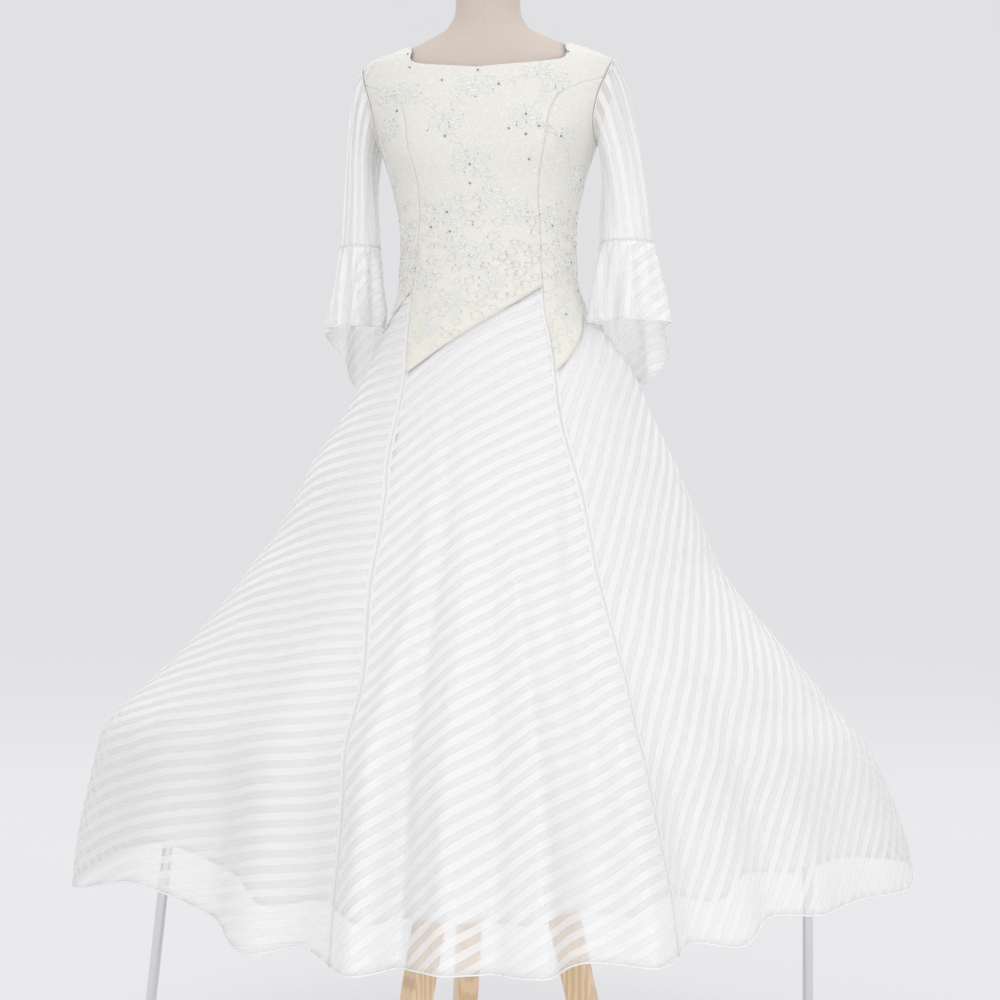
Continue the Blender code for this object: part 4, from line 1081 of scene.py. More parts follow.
def tube_mesh(name, paths, radius, look, sides=5, closed=()):
    """One mesh of round cords along paths; a path whose number is in closed is a loop."""
    verts, faces = [], []
    for number, path in enumerate(paths):
        points = np.array(path, dtype=float)
        loop = number in closed
        if loop:
            along = np.roll(points, -1, axis=0) - np.roll(points, 1, axis=0)
        else:
            along = np.gradient(points, axis=0)
        along /= np.linalg.norm(along, axis=1, keepdims=True) + 1e-12
        side = np.cross(along, (0.0, 0.0, 1.0))
        weak = np.linalg.norm(side, axis=1) < 0.2
        side[weak] = np.cross(along[weak], (0.0, 1.0, 0.0))
        side /= np.linalg.norm(side, axis=1, keepdims=True)
        up = np.cross(side, along)
        base = len(verts)
        for i in range(len(points)):
            for k in range(sides):
                turn = math.tau * k / sides
                verts.append(tuple(points[i] + radius * (side[i] * math.cos(turn) + up[i] * math.sin(turn))))
        count = len(points)
        for i in range(count if loop else count - 1):
            j = (i + 1) % count
            for k in range(sides):
                m = (k + 1) % sides
                faces.append((base + i * sides + k, base + i * sides + m, base + j * sides + m, base + j * sides + k))
        if not loop:
            faces.append(tuple(base + k for k in reversed(range(sides))))
            faces.append(tuple(base + (count - 1) * sides + k for k in range(sides)))
    mesh = bpy.data.meshes.new(name)
    mesh.from_pydata(verts, [], faces)
    mesh.shade_smooth()
    shape = bmesh.new()
    shape.from_mesh(mesh)
    bmesh.ops.recalc_face_normals(shape, faces=shape.faces)
    shape.to_mesh(mesh)
    shape.free()
    mesh.materials.append(look)
    return link(bpy.data.objects.new(name, mesh))


# Bodice


def resample(points, cells):
    """The same line through cells + 1 evenly spaced points."""
    line = np.array(points, dtype=float)
    metric = line * (METRES_A_DEGREE, 1.0)
    steps = np.concatenate([[0.0], np.cumsum(np.linalg.norm(np.diff(metric, axis=0), axis=1))])
    wanted = np.linspace(0.0, steps[-1], cells + 1)
    return [tuple(float(np.interp(w, steps, line[:, k])) for k in (0, 1)) for w in wanted]


def seam_line(seam_above, seam_below, side, foot):
    """Fine points up a bodice seam from its foot to the armhole."""
    line = []
    for level in np.linspace(foot, SEAM_TOP, 90):
        angle = side * seam_above(level) if level >= PEAK_HEIGHT else seam_below(level)
        line.append((angle, float(level)))
    return line


def shoulder_line(side, shift):
    """Fine points from a princess seam's end round the armhole and along the shoulder."""
    line = []
    start = armhole_turn(SEAM_TOP)
    for turn in np.linspace(start, 90.0, 24)[1:]:
        height = ARMHOLE_HEIGHT + ARMHOLE_HALF_TALL * math.sin(math.radians(turn))
        line.append((side * (90 - shift * ARMHOLE_HALF_ANGLE * math.cos(math.radians(turn))), height))
    for height in np.linspace(SHOULDER_END, NECK_END, 12)[1:]:
        line.append((side * 90.0, float(height)))
    return line


def tooth_line(name, first_share=0.0, last_share=1.0):
    return [tooth_point(name, float(share)) for share in np.linspace(first_share, last_share, 60)]


PATCH_CELLS = 16
PATCH_FINER = 4


def filled(bottom, top, left, right):
    """Fine rows of (angle, height) inside four lines, top row first."""
    coarse = [resample(line, PATCH_CELLS) for line in (bottom, top, left, right)]
    count = PATCH_CELLS
    grid = []
    for i in range(count + 1):
        t = i / count
        row = []
        for j in range(count + 1):
            s = j / count
            row.append(
                [
                    (1 - t) * (coarse[0][j][k] - (1 - s) * coarse[0][0][k] - s * coarse[0][-1][k])
                    + t * (coarse[1][j][k] - (1 - s) * coarse[1][0][k] - s * coarse[1][-1][k])
                    + (1 - s) * coarse[2][i][k]
                    + s * coarse[3][i][k]
                    for k in (0, 1)
                ]
            )
        grid.append(row)
    places = np.array(spread_evenly(grid))
    fine = count * PATCH_FINER
    spots = np.arange(fine + 1) / PATCH_FINER
    base = np.minimum(spots.astype(int), count - 1)
    part = (spots - base)[:, None, None]
    places = places[base] * (1 - part) + places[base + 1] * part
    part = (spots - base)[None, :, None]
    places = places[:, base] * (1 - part) + places[:, base + 1] * part
    lines = [np.array(resample(line, fine)) for line in (bottom, top, left, right)]
    share = np.linspace(0.0, 1.0, fine + 1)
    fade = np.clip(1 - np.linspace(0.0, 1.0, fine + 1) * 4, 0.0, 1.0)[:, None, None]
    places += (lines[0] - places[0])[None] * fade
    places += (lines[1] - places[-1])[None] * fade[::-1]
    fade = fade.transpose(1, 0, 2)
    places += (lines[2] - places[:, 0])[:, None] * fade
    places += (lines[3] - places[:, -1])[:, None] * fade[:, ::-1]
    return places[::-1].tolist()


def neck_place(reach):
    """(angle, height) on the front neck edge for a signed table angle."""
    return neck_corner(math.copysign(1, reach), abs(reach)), NECK_FRONT_AT(abs(reach))


def neck_height(angle):
    """Height of the neck edge at this angle."""
    if abs(angle) >= 90:
        return NECK_BACK_AT(abs(angle))
    return NECK_FRONT_AT(abs(angle) - math.copysign(NECK_TURN * math.sin(math.radians(2 * abs(angle))), angle))


def bodice_piece(name, bottom, top, left, right):
    rows = [[body_point(angle, height) for angle, height in row] for row in filled(bottom, top, left, right)]
    made = surface_object(name, rows, False, lined_lace(), sizes().lace)
    finish_piece(made, "ivory_lace", name.replace("lace_", "bodice_"))
    points = np.array(rows)
    wide = np.linalg.norm(np.diff(points, axis=1), axis=-1).sum(axis=1).max()
    tall = np.linalg.norm(np.diff(points, axis=0), axis=-1).sum(axis=0).max()
    area = surface_area(rows)
    wide = max(wide, area / tall)
    return made


class DRESS_OT_bodice(bpy.types.Operator):
    """Five panels of ivory lace over a matching lining"""

    bl_idname = "dress.bodice"
    bl_label = "Bodice"

    def execute(self, context):
        left = seam_line(FRONT_SEAM_AT, SEAMS["left_front"], -1, VALLEY_HEIGHT) + shoulder_line(-1, 1)
        right = seam_line(FRONT_SEAM_AT, SEAMS["right_front"], 1, PEAK_HEIGHT) + shoulder_line(1, 1)
        neck = [neck_place(float(reach)) for reach in np.linspace(-90, 90, 361)]
        bodice_piece("lace_front", tooth_line("front"), neck, left, right)
        for side, name in ((-1, "left"), (1, "right")):
            self.side_panel(side, name)
            self.back_panel(side, name)
        return {"FINISHED"}

    def side_panel(self, side, name):
        front_foot, back_foot = (PEAK_HEIGHT, VALLEY_HEIGHT) if side < 0 else (VALLEY_HEIGHT, PEAK_HEIGHT)
        front = seam_line(FRONT_SEAM_AT, SEAMS[name + "_front"], side, front_foot)
        back = seam_line(BACK_SEAM_AT, SEAMS[name + "_back"], side, back_foot)
        left, right = (back, front) if side < 0 else (front, back)
        first = armhole_turn(SEAM_TOP)
        turns = np.linspace(first, -180 - first, 91)
        top = [armhole(side, float(turn)) for turn in (turns[::-1] if side < 0 else turns)]
        bodice_piece("lace_side_" + name, tooth_line(name), top, left, right)

    def back_panel(self, side, name):
        foot = VALLEY_HEIGHT if side > 0 else PEAK_HEIGHT
        seam = seam_line(BACK_SEAM_AT, SEAMS[name + "_back"], side, foot) + shoulder_line(side, -1)
        angles = np.linspace(90, 180, 181)
        top = [(side * float(angle), NECK_BACK_AT(float(angle))) for angle in angles]
        reach = math.degrees(ZIP_HALF_WIDE / SECTION["left"](WAIST_HEIGHT))
        share = tooth_share("back", 180 - side * reach)
        low, high = tooth_point("back", share)[1], NECK_BACK_AT(180)
        centre = [(180 - side * reach, float(level)) for level in np.linspace(low, high, 60)]
        if side < 0:
            seam = [(angle + 360, height) for angle, height in seam]
            top = [(angle + 360, height) for angle, height in top][::-1]
            top[0] = centre[-1]
            bodice_piece("lace_back_" + name, tooth_line("back", share, 1.0), top, centre, seam)
        else:
            top[-1] = centre[-1]
            bodice_piece("lace_back_" + name, tooth_line("back", 0.0, share), top, seam, centre)


def on_bodice(angle, height, margin):
    """Whether this place is on the lace, at least a margin in from its edges."""
    angle = wrapped(angle)
    if height > neck_height(angle) - margin:
        return False
    across = (abs(angle) - 90) * METRES_A_DEGREE / (ARMHOLE_HALF_ANGLE * METRES_A_DEGREE + margin)
    up = (height - ARMHOLE_HEIGHT) / (ARMHOLE_HALF_TALL + margin)
    if across * across + up * up < 1:
        return False
    if abs(abs(angle) - 180) * METRES_A_DEGREE < ZIP_HALF_WIDE + margin:
        return False
    for name, (left_name, right_name, turn) in GORES.items():
        for spin in (0, 360):
            start, end = SEAMS[left_name](height), SEAMS[right_name](height) + turn
            if height > PEAK_HEIGHT:
                continue
            if start <= angle + spin <= end:
                share = (angle + spin - start) / (end - start)
                return height > tooth_height(name, share) + margin
    return True


def laid_on(centre, offsets):
    """World points of flat offsets (right, up) in metres from a centre on the body."""
    angle, height = centre
    here = body_point(angle, height)
    reach = math.hypot(here.x - AXIS_X, here.y - AXIS_Y)
    points = []
    for right, up in offsets:
        points.append((angle + math.degrees(right / reach), height + up))
    return points


def lace_flower(centre, wide, spin):
    """Lines of a rosette: loops of petals round a ringed centre, as offsets in metres."""
    radius = wide / 2
    lines = []
    count = 6
    for petal in range(count):
        turn = spin + math.tau * petal / count
        loop = []
        for i in range(14):
            around = math.tau * i / 14
            along = radius * (0.60 + 0.40 * math.cos(around))
            across = radius * 0.27 * math.sin(around) * (1 + 0.25 * math.cos(around))
            loop.append((along * math.cos(turn) - across * math.sin(turn), along * math.sin(turn) + across * math.cos(turn)))
        lines.append((loop, True))
    for share in (0.12, 0.22):
        ring = [
            (radius * share * math.cos(math.tau * i / 14), radius * share * math.sin(math.tau * i / 14))
            for i in range(14)
        ]
        lines.append((ring, True))
    return [(laid_on(centre, loop), closed) for loop, closed in lines]


def vine(start, end, rng):
    """A curved stem between two flowers with a few leaves."""
    (a, h), (b, g) = start, end
    middle_angle = (a + b) / 2 + rng.uniform(-5, 5)
    middle_height = (h + g) / 2 + rng.uniform(-0.012, 0.012)
    stem = []
    for i in range(15):
        t = 0.12 + 0.76 * i / 14
        rest = 1 - t
        stem.append(
            (
                a * rest * rest + 2 * middle_angle * t * rest + b * t * t,
                h * rest * rest + 2 * middle_height * t * rest + g * t * t,
            )
        )
    lines = [(stem, False)]
    for i in (3, 7, 11):
        base = stem[i]
        nearby = stem[i + 1]
        lean = math.atan2(nearby[1] - base[1], (nearby[0] - base[0]) * METRES_A_DEGREE)
        turn = lean + rng.choice((-1, 1)) * rng.uniform(0.7, 1.1)
        long = rng.uniform(0.008, 0.012)
        leaf = []
        for k in range(9):
            along = math.pi * k / 8
            right = long * math.sin(along / 2) ** 2 * 1.0
            wide = 0.32 * long * math.sin(along)
            if k > 4:
                right = long * math.sin(along / 2) ** 2
            leaf.append((right * math.cos(turn) - wide * math.sin(turn), right * math.sin(turn) + wide * math.cos(turn)))
        lines.append((laid_on(base, leaf), False))
    return lines


def scattered_flowers(rng):
    """Flowers on the sides and the back, about as far apart as those of the front."""
    found = []
    for row, height in enumerate(np.arange(1.06, 1.48, 0.058)):
        for column, angle in enumerate(np.arange(78, 282, 25.0)):
            place = float(angle) + (12 if row % 2 else 0) + rng.uniform(-4, 4)
            level = float(height) + rng.uniform(-0.010, 0.010)
            if on_bodice(place, level, 0.018):
                found.append((place, level, rng.uniform(30, 42)))
    return found


def small_figures(flowers, rng):
    """Outlined buds and rings that fill the ground between the flowers."""
    lines, taken = [], [(angle, height, wide / 2000) for angle, height, wide in flowers]
    for _ in range(2600):
        place, height = rng.uniform(-180, 180), rng.uniform(1.03, 1.27)
        radius = rng.uniform(0.0045, 0.0080)
        if not on_bodice(place, height, 0.004) or rng.random() < (height - 1.16) / 0.13:
            continue
        if any(
            math.hypot(wrapped(place - other) * METRES_A_DEGREE, height - far) < reach + radius
            for other, far, reach in taken
        ):
            continue
        taken.append((place, height, radius))
        spin = rng.uniform(0, math.tau)
        lobes = rng.choice((4, 5, 6))
        loop = []
        for i in range(28):
            turn = math.tau * i / 28
            reach = radius * (0.85 + 0.15 * math.cos(lobes * turn))
            loop.append((reach * math.cos(turn + spin), reach * math.sin(turn + spin)))
        lines.append((laid_on((place, height), loop), True))
    return lines


class DRESS_OT_lace_flowers(bpy.types.Operator):
    """Corded flowers, stems and leaves raised on the lace"""

    bl_idname = "dress.lace_flowers"
    bl_label = "Lace flowers"

    def execute(self, context):
        rng = random.Random(7)
        flowers = [row for row in FLOWERS] + scattered_flowers(rng)
        lines = []
        for angle, height, wide_mm in flowers:
            lines += lace_flower((angle, height), wide_mm / 1000, rng.uniform(0, math.tau))
        lines += small_figures(flowers, rng)
        for i, (angle, height, _) in enumerate(flowers):
            near = sorted(
                (math.hypot((wrapped(other[0] - angle)) * METRES_A_DEGREE, other[1] - height), j)
                for j, other in enumerate(flowers)
                if j != i
            )[:2]
            for distance, j in near:
                if distance < 0.085 and (j > i or rng.random() < 0.3):
                    far = (angle + wrapped(flowers[j][0] - angle), flowers[j][1])
                    lines += vine((angle, height), far, rng)
        radius = sizes().lace_cord
        paths, loops = [], set()
        for points, closed in lines:
            runs, run = [], []
            for angle, height in points:
                if on_bodice(angle, height, 0.0015):
                    run.append(tuple(offset_body(angle, height, radius * 0.35)))
                elif run:
                    runs.append(run)
                    run = []
            if run:
                runs.append(run)
            whole = closed and len(runs) == 1 and len(runs[0]) == len(points)
            for run in runs:
                if len(run) > 2:
                    if whole:
                        loops.add(len(paths))
                    paths.append(run)
        made = tube_mesh("lace_flowers", paths, radius, lace_cord(), 4, loops)
        finish_piece(made, "ivory_lace")
        self.petals([points for points, closed in lines if len(points) == 14])
        return {"FINISHED"}


    def petals(self, outlines):
        """Thin patches of denser net that fill the petals; their grey specks are painted shade."""
        shape = bmesh.new()
        for points in outlines:
            if not all(on_bodice(angle, height, 0.002) for angle, height in points):
                continue
            ring = [shape.verts.new(offset_body(angle, height, 0.00022)) for angle, height in points]
            middle = [sum(point[k] for point in points) / len(points) for k in (0, 1)]
            centre = shape.verts.new(offset_body(middle[0], middle[1], 0.00045))
            for i in range(len(ring)):
                shape.faces.new((ring[i], ring[(i + 1) % len(ring)], centre))
        mesh = bpy.data.meshes.new("lace_petals")
        shape.to_mesh(mesh)
        shape.free()
        mesh.materials.append(petal_net_and_shade())
        made = link(bpy.data.objects.new("lace_petals", mesh))
        wall = made.modifiers.new("thickness", "SOLIDIFY")
        wall.thickness = 0.0003
        wall.offset = -1.0
        finish_piece(made, "ivory_lace")


class DRESS_OT_stones(bpy.types.Operator):
    """Small cut stones sewn on the flowers"""

    bl_idname = "dress.stones"
    bl_label = "Stones"

    def execute(self, context):
        rng = random.Random(11)
        places = [row for row in STONES]
        places += [(angle, height) for angle, height, _ in scattered_flowers(random.Random(7))][::2]
        shape = bmesh.new()
        for angle, height in places:
            normal = body_normal(angle, height)
            centre = body_point(angle, height) + normal * 0.0003
            side = Vector((0, 0, 1)).cross(normal).normalized()
            up = normal.cross(side)
            spin = rng.uniform(0, 1)
            rings = []
            for radius, rise, count in ((1.0, 0.0, 8), (1.0, 0.25, 8), (0.58, 0.62, 8)):
                ring = []
                for i in range(count):
                    turn = math.tau * (i + spin + (0.5 if rise > 0.5 else 0.0)) / count
                    ring.append(
                        shape.verts.new(
                            centre
                            + side * (sizes().stone * radius * math.cos(turn))
                            + up * (sizes().stone * radius * math.sin(turn))
                            + normal * (sizes().stone * rise)
                        )
                    )
                rings.append(ring)
            for lower, upper in zip(rings, rings[1:]):
                for i in range(8):
                    j = (i + 1) % 8
                    shape.faces.new((lower[i], lower[j], upper[j], upper[i]))
            shape.faces.new(rings[-1])
            shape.faces.new(rings[0][::-1])
        mesh = bpy.data.meshes.new("cut_stones")
        shape.to_mesh(mesh)
        shape.free()
        mesh.materials.append(metal("cut_stone", (0.42, 0.45, 0.50), 0.08))
        made = link(bpy.data.objects.new("cut_stones", mesh))
        finish_piece(made, "zip_metal")
        return {"FINISHED"}


# Skirt


def soft_fold(angle, height):
    """Extra outward shift of the soft folds here."""
    out = 0.0
    for centre, start, depth, half_width in SOFT_FOLDS:
        share = (start - height) / (start - 0.25)
        if share > 0:
            across = wrapped(angle - centre) / half_width
            out += depth * share**1.3 * math.exp(-across * across)
    return out


def draped_point(angle, height, inward=0.0, fold_spread=1.0):
    point = skirt_point(angle, height, inward, fold_spread)
    away = Vector((point.x - AXIS_X, point.y - AXIS_Y, 0)).normalized()
    return point + away * soft_fold(angle, height)


def flat_pattern(rows):
    """The cut of a piece of cloth: its points laid flat with their distances kept."""
    points = np.array(rows, dtype=float)
    middle = points.shape[1] // 2
    tall = np.linalg.norm(np.diff(points, axis=0), axis=-1)
    depth = np.concatenate([np.zeros((1, points.shape[1])), np.cumsum(tall, axis=0)], axis=0)
    depth += points[0, middle, 2] - points[0, :, 2]
    wide = np.linalg.norm(np.diff(points, axis=1), axis=-1)
    total = wide.sum(axis=1)
    grade, start = np.polyfit(depth[:, middle], total, 1)
    spread = max(grade, 0.05)
    share = np.concatenate([np.zeros((len(points), 1)), np.cumsum(wide, axis=1)], axis=1) / total[:, None]
    turn = (share - 0.5) * spread
    reach = start / spread + depth
    flat = np.stack([reach * np.sin(turn), -reach * np.cos(turn)], axis=-1)
    links = []
    for a, b in (
        (np.s_[:, :-1], np.s_[:, 1:]),
        (np.s_[:-1, :], np.s_[1:, :]),
        (np.s_[:-1, :-1], np.s_[1:, 1:]),
        (np.s_[1:, :-1], np.s_[:-1, 1:]),
    ):
        links.append((a, b, np.linalg.norm(points[b] - points[a], axis=-1)[..., None]))
    for _ in range(500):
        shift = np.zeros_like(flat)
        for a, b, rest in links:
            gap = flat[b] - flat[a]
            size = np.linalg.norm(gap, axis=-1, keepdims=True)
            push = gap * (1 - rest / np.maximum(size, 1e-6)) * 0.5
            shift[a] += push
            shift[b] -= push
        flat += shift * 0.24
    return flat


def along_edge(flat):
    """The flat cut turned until its top edge lies along the second axis, its stripes a little unsteady."""
    top = flat[0, -1] - flat[0, 0]
    top /= np.linalg.norm(top)
    across = np.array((-top[1], top[0]))
    first, second = (flat - flat[0, 0]) @ across, (flat - flat[0, 0]) @ top
    first = first + 0.0007 * np.sin(second * 41 + first * 13) + 0.0002 * np.sin(second * 97 - first * 41)
    return np.stack([first, second], axis=-1)


def edge_distances(rows):
    """How far each point is from the nearer side edge and from the hem, in metres."""
    points = np.array(rows, dtype=float)
    wide = np.linalg.norm(np.diff(points, axis=1), axis=-1)
    right = np.concatenate([np.zeros((len(points), 1)), np.cumsum(wide, axis=1)], axis=1)
    side = np.minimum(right, right[:, -1:] - right)
    tall = np.linalg.norm(np.diff(points, axis=0), axis=-1)
    down = np.concatenate([np.zeros((1, points.shape[1])), np.cumsum(tall, axis=0)], axis=0)
    return np.stack([side, down[-1:] - down], axis=-1)


GORE_ROWS = 64


class DRESS_OT_skirt(bpy.types.Operator):
    """Four gores of striped organza with a rolled hem"""

    bl_idname = "dress.skirt"
    bl_label = "Skirt"

    def execute(self, context):
        for name in GORES:
            self.gore(name)
        return {"FINISHED"}

    def gore(self, name):
        left_seam, right_seam, round_back = GORES[name]
        cells = GORE_CELLS[name]
        columns = []
        for place in range(cells + 1):
            share = place / cells
            hem_angle = SEAMS[left_seam](0.25) * (1 - share) + (SEAMS[right_seam](0.25) + round_back) * share
            hem = HEM_AT["height"](wrapped(hem_angle))
            top = tooth_height(name, share)
            column = []
            for i in range(GORE_ROWS + 1):
                height = top + (hem - top) * i / GORE_ROWS
                start = SEAMS[left_seam](height)
                end = SEAMS[right_seam](height) + round_back
                column.append(tuple(draped_point(start + (end - start) * share, height)))
            columns.append(column)
        rows = [list(row) for row in zip(*columns)]
        made = surface_object("organza_gore_" + name, rows, False, striped_organza(), sizes().cloth)
        flat = flat_pattern(rows)
        add_map(made, "weave", along_edge(flat), cells + 1, False)
        add_map(made, "edges", edge_distances(rows), cells + 1, False)
        finish_piece(made, "white_stripe", "skirt_gore_" + name)
        hem_line = [Vector(point) + Vector((0, 0, -0.0004)) for point in rows[-1]]
        hem = tube_mesh("rolled_hem_" + name, [hem_line], sizes().hem_cord, lining_cord(), 6)
        finish_piece(hem, "white_stripe")


def lining_cord():
    found = bpy.data.materials.get("rolled_edge")
    if found:
        return found
    made, tree, shader, place = fresh_material("rolled_edge", 0.45)
    shade = noise(tree, place, 300.0, 2.0, -700, 100)
    colour = mix_colours(tree, shade, tuple(colours().satin), tuple(c * 0.94 for c in colours().satin), -300, 100)
    tree.links.new(colour, shader.inputs["Base Color"])
    bump(tree, noise(tree, place, 2000.0, 1.0, -700, -300), 0.3, 0.0002, shader)
    return made


class DRESS_OT_underskirt(bpy.types.Operator):
    """Soft white lining inside the skirt, a hand's width shorter"""

    bl_idname = "dress.underskirt"
    bl_label = "Underskirt"

    def execute(self, context):
        row_count = 56
        columns = []
        for name, (left_seam, right_seam, round_back) in GORES.items():
            cells = GORE_CELLS[name] * 3 // 4
            for place in range(cells):
                share = (place + 0.5) / cells
                hem_angle = SEAMS[left_seam](0.25) * (1 - share) + (SEAMS[right_seam](0.25) + round_back) * share
                hem = HEM_AT["height"](wrapped(hem_angle)) + LINING_HEM_RISE
                top = tooth_height(name, share) - 0.0015
                column = []
                for i in range(row_count + 1):
                    height = top + (hem - top) * i / row_count
                    start = SEAMS[left_seam](height)
                    angle = start + (SEAMS[right_seam](height) + round_back - start) * share
                    inset = LINING_INSET_AT(min(height, LINING_TOP))
                    inward = SHEER_WALL + (inset + (0.0009 - inset) * smoothstep((height - LINING_TOP) / 0.04))
                    column.append(tuple(draped_point(angle, height, inward, LINING_FOLD_SPREAD)))
                columns.append(column)
        rows = [list(row) for row in zip(*columns)]
        made = surface_object("soft_underskirt", rows, True, lining_cloth(), sizes().cloth)
        finish_piece(made, "white_lining", "underskirt")
        return {"FINISHED"}


# Sleeves and flounces

SLEEVE_COLUMNS_FINE = 96
SLEEVE_ROWS_FINE = 40
STRIPES_ROUND_SLEEVE = 15
CREASE_DEPTH = 0.0011


def fine_sleeve_point(name, turn, share):
    """Sleeve surface with small gathers under the cap and long soft creases."""
    side = SLEEVES[name][0]
    around = math.radians(turn)
    point = Vector(sleeve_line(name, turn, share))
    outward = Vector((side * math.sin(around), -math.cos(around), 0))
    cap = smoothstep(share * 9) * (1 - smoothstep((share - 0.08) / 0.5)) * max(math.sin(around) + 0.35, 0.0)
    crease = 0.0012 * cap * math.cos(around * 22 + 1.3)
    long = math.sin(around * 5 + 2.2 * share + side) + 0.6 * math.sin(around * 9 - 3.1 * share)
    crease += CREASE_DEPTH * long * smoothstep(share * 3) * smoothstep((1 - share) * 6)
    end = 1 - smoothstep((1 - share) / 0.12)
    crease += 0.0006 * end * math.cos(around * 26)
    return point + outward * crease


class DRESS_OT_sleeves(bpy.types.Operator):
    """Sheer sleeves with stripes down their length, gathered into the armholes"""

    bl_idname = "dress.sleeves"
    bl_label = "Sleeves"

    def execute(self, context):
        for name in SLEEVES:
            side = SLEEVES[name][0]
            rows, map_rows, edge_rows = [], [], []
            count = SLEEVE_COLUMNS_FINE
            for i in range(SLEEVE_ROWS_FINE + 1):
                share = i / SLEEVE_ROWS_FINE
                row = [tuple(fine_sleeve_point(name, 360 * j / count, share)) for j in range(count)]
                rows.append(row if side > 0 else row[::-1])
                map_rows.append([(sizes().stripe * STRIPES_ROUND_SLEEVE * j / count, share * 0.3) for j in range(2 * count)])
                near = 0.3 * min(share + 0.02, 1 - share + 0.012)
                edge_rows.append([(near, near) for j in range(2 * count)])
            made = surface_object("organza_sleeve_" + name, rows, True, striped_organza(), sizes().cloth)
            add_map(made, "weave", map_rows, count, True)
            add_map(made, "edges", edge_rows, count, True)
            finish_piece(made, "white_stripe", "sleeve_" + name)
            cap = [Vector(point) for point in rows[0]]
            seam = tube_mesh("armhole_seam_" + name, [cap], 0.0008, lace_cord(), 5, {0})
            finish_piece(seam, "ivory_lace")
        return {"FINISHED"}


FLOUNCE_COLUMNS_FINE = 144
FLOUNCE_ROWS_FINE = 24


def flounce_point(name, turn, share):
    side, top_x, top_y, top_wide, top_deep, _ = SLEEVES[name]
    hem_x, hem_y, hem_wide, hem_deep, tail_angle = FLOUNCES[name]
    around = math.radians(turn)
    tail = math.exp(-((wrapped(turn - tail_angle) / FLOUNCE_TAIL_SPREAD) ** 2))
    hem = FLOUNCE_HEM - FLOUNCE_TAIL * tail
    open_share = share**0.8
    wave = FLOUNCE_WAVE_DEPTH * share * math.cos(FLOUNCE_WAVES * around + 0.6)
    wave += 0.0022 * smoothstep(share * 4) * math.sin(11 * around + 2.5 * share + side)
    wave += 0.0007 * (1 - smoothstep(share * 4)) * math.cos(24 * around)
    wide = top_wide + (hem_wide - top_wide) * open_share + wave
    deep = top_deep + (hem_deep - top_deep) * open_share + wave
    x = AXIS_X + top_x + (hem_x - top_x) * open_share + side * wide * math.sin(around)
    y = AXIS_Y + top_y + (hem_y - top_y) * open_share - deep * math.cos(around)
    return tuple(clear_of_skirt(Vector((x, y, SLEEVE_SEAM_HEIGHT + (hem - SLEEVE_SEAM_HEIGHT) * share))))


class DRESS_OT_flounces(bpy.types.Operator):
    """Round-cut flounces that fall from the sleeves into long points"""

    bl_idname = "dress.flounces"
    bl_label = "Flounces"

    def execute(self, context):
        for name in FLOUNCES:
            side = SLEEVES[name][0]
            count = FLOUNCE_COLUMNS_FINE
            rows = []
            for i in range(FLOUNCE_ROWS_FINE + 1):
                share = i / FLOUNCE_ROWS_FINE
                row = [flounce_point(name, 360 * j / count, share) for j in range(count)]
                rows.append(row if side > 0 else row[::-1])
            points = np.array(rows)
            tall = np.linalg.norm(np.diff(points, axis=0), axis=-1)
            down = np.concatenate([np.zeros((1, count)), np.cumsum(tall, axis=0)], axis=0)
            fan, inner = 2.6, 0.085
            map_rows, edge_rows = [], []
            for i in range(FLOUNCE_ROWS_FINE + 1):
                line = []
                for j in range(2 * count):
                    turn = fan * (j / count - 0.5) + 0.5
                    reach = inner + float(down[i, j % count])
                    line.append((reach * math.cos(turn) + 0.2, reach * math.sin(turn)))
                map_rows.append(line)
                edge_rows.append([(0.004 + float(down[i, j % count]), 0.0) for j in range(2 * count)])
            made = surface_object("organza_flounce_" + name, rows, True, striped_organza(), sizes().cloth)
            add_map(made, "weave", map_rows, count, True)
            add_map(made, "edges", edge_rows, count, True)
            finish_piece(made, "white_stripe", "flounce_" + name)
            hem = tube_mesh("flounce_hem_" + name, [rows[-1]], sizes().hem_cord * 0.8, lining_cord(), 5, {0})
            finish_piece(hem, "white_stripe")
        return {"FINISHED"}


# Form, stands and zip


def closed_surface(name, rings, look):
    """Closed smooth shape through rings from the top down."""
    count = len(rings[0])
    verts = [tuple(point) for ring in rings for point in ring]
    faces = []
    for i in range(len(rings) - 1):
        for j in range(count):
            k = (j + 1) % count
            faces.append((i * count + j, (i + 1) * count + j, (i + 1) * count + k, i * count + k))
    faces.append(tuple(range(count)))
    last = (len(rings) - 1) * count
    faces.append(tuple(last + j for j in reversed(range(count))))
    mesh = bpy.data.meshes.new(name)
    mesh.from_pydata(verts, [], faces)
    mesh.shade_smooth()
    mesh.set_sharp_from_angle(angle=math.radians(50))
    mesh.materials.append(look)
    return link(bpy.data.objects.new(name, mesh))


